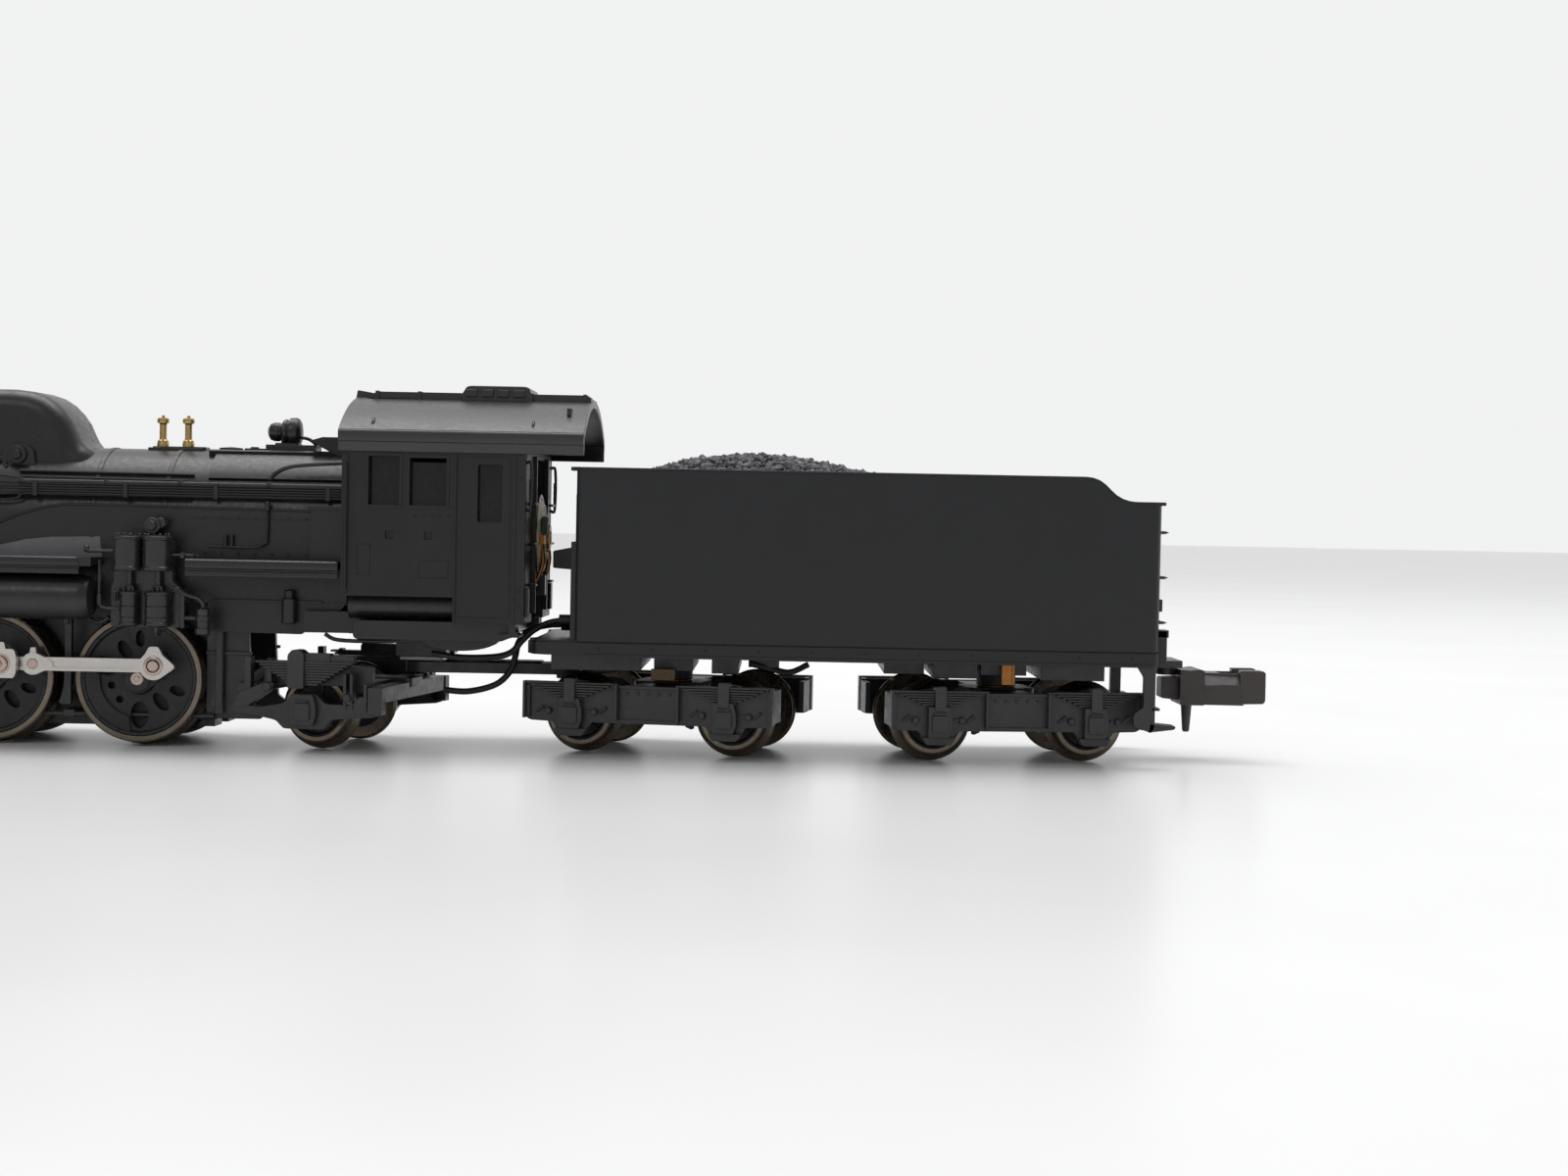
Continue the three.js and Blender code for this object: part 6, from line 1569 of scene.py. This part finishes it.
def cab_sides():
    x0, x1 = CAB_X
    for label, side in SIDES:
        wall, cuts, trim = Piece(), Piece(), Piece()
        outline = [(x0, CAB_FRONT_Z), (12.3, CAB_FRONT_Z), (12.3, CAB_REAR_Z), (x1, CAB_REAR_Z),
                   (x1, CAB_WALL_TOP), (x0, CAB_WALL_TOP)]
        wall.prism(outline, "Y", CAB_Y - 0.55, CAB_Y)
        for wx0, wx1, wz0, wz1 in CAB_WINDOWS:
            opening = rounded([(wx0, wz0), (wx1, wz0), (wx1, wz1), (wx0, wz1)], 0.18, 4)
            cuts.prism(opening, "Y", CAB_Y - 2, CAB_Y + 1)
        for low_x, high_x, low_z, high_z in ((12.52, 16.45, 10.2, 22.0), (5.25, 6.3, 13.2, 15.5),
                                             (9.75, 12.0, 13.0, 14.35)):
            frame_line = [(low_x, low_z), (high_x, low_z), (high_x, high_z), (low_x, high_z)]
            inside = [(low_x + 0.1, low_z + 0.1), (high_x - 0.1, low_z + 0.1), (high_x - 0.1, high_z - 0.1),
                      (low_x + 0.1, high_z - 0.1)]
            groove(cuts, frame_line, inside, CAB_Y - 0.05, CAB_Y + 0.5)
        for x in (7.3, 10.15):
            cuts.prism(rounded([(x, 15.85), (x + 0.6, 15.85), (x + 0.6, 16.45), (x, 16.45)], 0.05, 2), "Y",
                       CAB_Y - 0.2, CAB_Y + 1)
        wall.mirrored(side)
        cuts.mirrored(side)
        wall.done(f"cab_side_{label}", CAB, replaces=["cab_shell"], cuts=cuts)
        for wx0, wx1, wz0, wz1 in CAB_WINDOWS[:2]:
            for a0, a1, b0, b1 in ((wx0 - 0.2, wx0 + 0.02, wz0 - 0.2, wz1 + 0.2),
                                   (wx1 - 0.02, wx1 + 0.2, wz0 - 0.2, wz1 + 0.2),
                                   (wx0, wx1, wz0 - 0.2, wz0 + 0.02), (wx0, wx1, wz1 - 0.02, wz1 + 0.2)):
                trim.box(a0, a1, CAB_Y - 0.02, CAB_Y + 0.07, b0, b1)
        trim.box(x0 + 0.02, x0 + 0.5, CAB_Y - 0.05, CAB_Y + 0.13, 11.9, 21.9)
        trim.tube([(x0 + 0.35, CAB_Y + 0.05, 12.6), (x0 + 0.35, CAB_Y + 0.28, 12.8),
                   (x0 + 0.35, CAB_Y + 0.28, 20.8), (x0 + 0.35, CAB_Y + 0.05, 21.0)], 0.1, 8, 4)
        trim.box(12.3, 12.45, CAB_Y - 0.02, CAB_Y + 0.1, CAB_REAR_Z, CAB_WALL_TOP)
        trim.box(16.6, 16.8, CAB_Y - 0.02, CAB_Y + 0.08, CAB_REAR_Z, CAB_WALL_TOP)
        for k in range(5):
            trim.rod(0.1, "Y", 9.5 + 0.6 * k, 17.6, CAB_Y - 0.1, CAB_Y + 0.08, sides=8, edge=0.02)
        for z in (11.0, 12.2, 20.4):
            trim.rod(0.12, "Y", 17.1, z, CAB_Y - 0.1, CAB_Y + 0.1, sides=8, edge=0.02)
        trim.mirrored(side).done(f"cab_side_trim_{label}", CAB, bevel=0.03)
        # Opaque near-black panes just inside the windows: painted shade for the dark cab interior. The second
        # window's pane stops short of its top, leaving a slit open.
        panes = Piece()
        for (wx0, wx1, wz0, wz1), gap in zip(CAB_WINDOWS, (0.0, 0.32, 0.0)):
            panes.box(wx0 - 0.3, wx1 + 0.3, CAB_Y - 0.85, CAB_Y - 0.7, wz0 - 0.3, wz1 + 0.3
                      if not gap else wz1 - gap)
        panes.mirrored(side).done(f"cab_window_shade_pane_{label}", CAB_SHADE_PANE, bevel=0)


def groove(cuts, outer, inner, low_y, high_y):
    """A thin rectangular frame, used to cut a panel line."""
    (ax, az), (bx, bz) = outer[0], outer[2]
    (cx, cz), (dx, dz) = inner[0], inner[2]
    for x0, x1, z0, z1 in ((ax, cx, az, bz), (dx, bx, az, bz), (ax, bx, az, cz), (ax, bx, dz, bz)):
        cuts.box(x0, x1, low_y, high_y, z0, z1)


def cab_ends():
    x0, x1 = CAB_X
    front, rear, rails = Piece(), Piece(), Piece()
    around = arc(0, BOILER_Z, 6.95, 205, -25, 32)
    outline = [(-CAB_Y + 0.1, CAB_FRONT_Z), (-7.2, CAB_FRONT_Z), *around, (7.2, CAB_FRONT_Z),
               (CAB_Y - 0.1, CAB_FRONT_Z), (CAB_Y - 0.1, CAB_WALL_TOP), (6.4, 24.4), (3.2, 25.5), (0, 25.9),
               (-3.2, 25.5), (-6.4, 24.4), (-CAB_Y + 0.1, CAB_WALL_TOP)]
    front.prism(outline, "X", x0 + 0.05, x0 + 0.6)
    front.prism([(0.3, 23.1), (1.3, 23.4), (x0 + 0.3, 23.4), (x0 + 0.3, 21.9), (2.6, 21.9)], "Y", -2.6, 2.6)
    for _, side in SIDES:
        near, far = on(side, 7.4, 8.6)
        front.box(x0 - 0.12, x0 + 0.1, near, far, 18.3, 21.2)
        rear.box(x1 - 0.6, x1, *on(side, 4.0, (CAB_Y - 0.1)), CAB_REAR_Z, CAB_WALL_TOP)
        rear.box(x1 - 0.1, x1 + 0.3, *on(side, 3.9, 4.4), 10.4, 22.2)
        rear.box(x1, x1 + 0.25, *on(side, 7.6, 8.9), 10.3, 12.4)
        for z in (12.6, 15.6, 18.6):
            rails.tube([(x1, side * 5.4, z), (x1 + 0.45, side * 5.4, z), (x1 + 0.45, side * 6.9, z),
                        (x1, side * 6.9, z)], 0.1, 8, 4)
        zigzag = [(x1 + 0.3, side * (8.7 - 0.12 * (k % 2)), 18.4 + 0.25 * k) for k in range(9)]
        rails.tube(zigzag, 0.09, 6, 1)
        rails.tube([(x1, side * 8.6, 18.2), (x1 + 0.35, side * 8.7, 18.3), (x1 + 0.35, side * 8.7, 21.4),
                    (x1, side * 8.6, 21.6)], 0.12, 8, 4)
    front.done("cab_front_wall", CAB, replaces=["cab_shell"])
    rear.box(x1 - 0.6, x1, -4.2, 4.2, 22.05, CAB_WALL_TOP)
    rear.prism([(-CAB_Y + 0.1, CAB_WALL_TOP - 0.1), (CAB_Y - 0.1, CAB_WALL_TOP - 0.1), (6.4, 24.4),
                (3.2, 25.5), (0, 25.9), (-3.2, 25.5), (-6.4, 24.4)], "X", x1 - 0.5, x1 - 0.05)
    rear.done("cab_rear_wall", CAB, replaces=["cab_shell"])
    rails.done("cab_rear_rails", BODY, bevel=0)


def cab_underside():
    beam, pipes = Piece(), Piece()
    for _, side in SIDES:
        near, far = on(side, 7.3, 8.5)
        beam.prism(rounded([(4.9, 8.45), (15.9, 8.45), (16.6, 8.9), (16.6, 9.85), (4.9, 9.85)], 0.45), "Y",
                   near, far)
        bowl = [(a, 8.6 + (b - 8.6) * 0.32) for a, b in arc(12.6, 8.6, 2.9, 180, 360, 18)]
        beam.prism(bowl, "Y", *on(side, 6.0, 7.6))
        pipes.rod(0.55, "Z", -0.15, side * 6.75, 9.4, 11.3, sides=24)
        pipes.rod(0.35, "Z", -0.15, side * 6.75, 11.2, 11.9, sides=16)
        pipes.rod(1.1, "X", side * 7.0, 11.0, 4.4, 12.2, sides=32)
        pipes.box(1.0, 5.6, *on(side, 6.0, 7.0), 8.8, 10.4)
        pipes.prism(rounded([(15.6, 8.8), (17.2, 8.8), (17.3, 9.0), (16.9, 9.1), (16.9, 9.8), (16.4, 9.8),
                             (16.4, 9.1), (15.6, 9.0)], 0.08, 2), "Y", *on(side, 7.0, 9.1))
        pipes.rod(0.5, "X", side * 7.9, 9.25, 15.6, 16.9, sides=20)
        pipes.tube([(2.6, side * 7.0, 8.7), (3.6, side * 7.2, 8.3), (6.5, side * 7.2, 8.25),
                    (10, side * 7.0, 8.4)], 0.16, 8, 4)
    beam.box(4.2, 16.0, -6.4, 6.4, 8.75, 9.5)
    beam.done("cab_drag_beam", BODY, bevel=0.06)
    pipes.done("cab_injectors", BODY, bevel=0.03)


ROOF_SPAN = (3.81, 21.72)
ROOF_AXIS_Z, ROOF_R = 9.26, 17.34


def roof_arch(radius, half_width, steps=40):
    swing = math.degrees(math.asin(half_width / radius))
    return arc(0, ROOF_AXIS_Z, radius, 90 + swing, 90 - swing, steps)


def cab_roof():
    x0, x1 = ROOF_SPAN
    shell, trim, vent = Piece(), Piece(), Piece()
    outer, inner = roof_arch(ROOF_R, 9.45), roof_arch(ROOF_R - 0.55, 9.2)
    shell.prism(outer + inner[::-1], "X", x0, x1)
    shell.done("cab_roof_sheet", ROOF_TOPLIT, bevel=0.06, angle=30, replaces=["cab_roof"])
    for label, side in SIDES:
        eave = [(9.0, 22.2), (9.42, 22.2), (9.46, 22.9), (9.62, 22.95), (9.62, 23.65), (9.5, 23.78),
                (9.2, 23.8), (9.0, 23.6)]
        gutter = Piece().prism(rounded(eave, 0.05, 2), "X", x0 + 0.02, x1 - 0.02).mirrored(side)
        gutter.done(f"roof_gutter_{label}", ROOF_TOPLIT, bevel=0.04, replaces=["cab_roof"])
        for x in (6.2, 17.9):
            a, b = side * 8.2, ROOF_AXIS_Z + math.sqrt(ROOF_R ** 2 - 8.2 ** 2)
            trim.tube([(x, a, b - 0.1), (x, a + side * 0.05, b + 0.12), (x, a + side * 0.5, b - 0.25),
                       (x, a + side * 0.5, b - 0.5)], 0.1, 8, 3)
    apex = ROOF_AXIS_Z + ROOF_R
    deck = [(4.6, apex - 0.15), (5.4, apex + 0.32), (21.2, apex + 0.32), (21.6, apex + 0.1),
            (21.6, apex - 0.3)]
    trim.prism(deck, "Y", -2.6, 2.6)
    for x in (5.3, 8.5, 11.9, 17.0, 21.0):
        trim.box(x, x + 0.25, -2.75, 2.75, apex - 0.3, apex + 0.38)
    trim.box(20.2, 20.5, -7.0, 7.0, apex - 1.4, apex - 0.9)
    trim.prism(rounded([(3.6, 26.3), (3.75, 27.05), (5.6, 26.75), (5.6, 26.4)], 0.08, 2), "Y", -1.6, 1.6)
    trim.done("cab_roof_walkway", ROOF_TOPLIT, replaces=["cab_roof"])
    cap = [(11.8, 26.75), (12.2, 27.4), (12.5, 27.48), (16.6, 27.48), (16.9, 27.4), (17.2, 26.75),
           (17.2, 26.3), (11.8, 26.3)]
    vent.prism(rounded(cap, 0.12, 3), "Y", -2.9, 2.9)
    for x in (12.15, 13.35, 14.55, 15.75):
        vent.box(x, x + 0.9, -3.05, 3.05, 26.62, 27.2)
    vent.done("cab_roof_ventilator", ROOF_TOPLIT, bevel=0.08, replaces=["cab_roof"])


# ---------- motor ----------
def motor():
    z, x0 = centre("motor_can").z, 4.9
    can, cap, ring, block = Piece(), Piece(), Piece(), Piece()
    flats = []
    for a, b in arc(0, 0, 3.3, 0, 354, 59):
        flats.append((a, z + max(-2.75, min(2.75, b))))
    can.prism(flats, "X", x0, 16.9)
    can.rod(1.1, "X", 0, z, 4.4, 5.0, sides=32)
    can.done("motor_can_shell", STEEL, bevel=0.08, angle=30, replaces=["motor_can"])
    cap.lathe([(0, 18.12), (0.9, 18.12), (1.0, 18.08), (1.0, 17.9), (2.3, 17.9), (2.45, 17.98), (2.6, 17.9),
               (3.0, 17.6), (3.05, 16.95), (0, 16.95)], "X", 0, z, 48)
    for k in range(4):
        a, b = polar(90 * k + 45, 2.0)
        cap.rod(0.3, "X", a, z + b, 17.6, 18.15, sides=16)
    cap.done("motor_cap_disc", CREAM, bevel=0.04, replaces=["motor_end_cap"])
    ring.lathe([(3.0, 17.7), (3.3, 17.7), (3.34, 17.5), (3.34, 16.9), (3.0, 16.9)], "X", 0, z, 48)
    ring.box(17.3, 18.1, -0.5, 0.5, z - 4.4, z - 2.9)
    ring.done("motor_cap_band", BODY, bevel=0.03)
    block.lathe([(0.55, 18.2), (0.55, 18.42), (1.0, 18.42), (1.0, 18.2)], "X", 0, z, 32)
    for _, side in SIDES:
        block.box(17.7, 18.25, *on(side, 1.6, 2.7), z - 0.5, z + 0.5)
        block.tube([(18.0, side * 2.2, z - 0.4), (18.1, side * 2.3, z - 2), (17.4, side * 2.5, z - 3.6),
                    (16, side * 2.6, z - 4)], 0.17, 8, 4)
    block.done("motor_brush_terminals", COPPER, bevel=0.03, slot=None)
    green = Piece().box(18.0, 18.45, -2.9, -1.9, z + 0.2, z + 1.6)
    green.done("motor_green_block", GREEN, bevel=0.08)


chassis()
cab_sides()
cab_ends()
cab_underside()
cab_roof()
motor()

# Any CAD node that no piece has replaced is painted black.
kept_nodes = {name for _, names in KEPT for name in names}
for node, cad_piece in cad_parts.items():
    if node not in kept_nodes and not cad_piece.hide_render:
        dress(node, BODY)
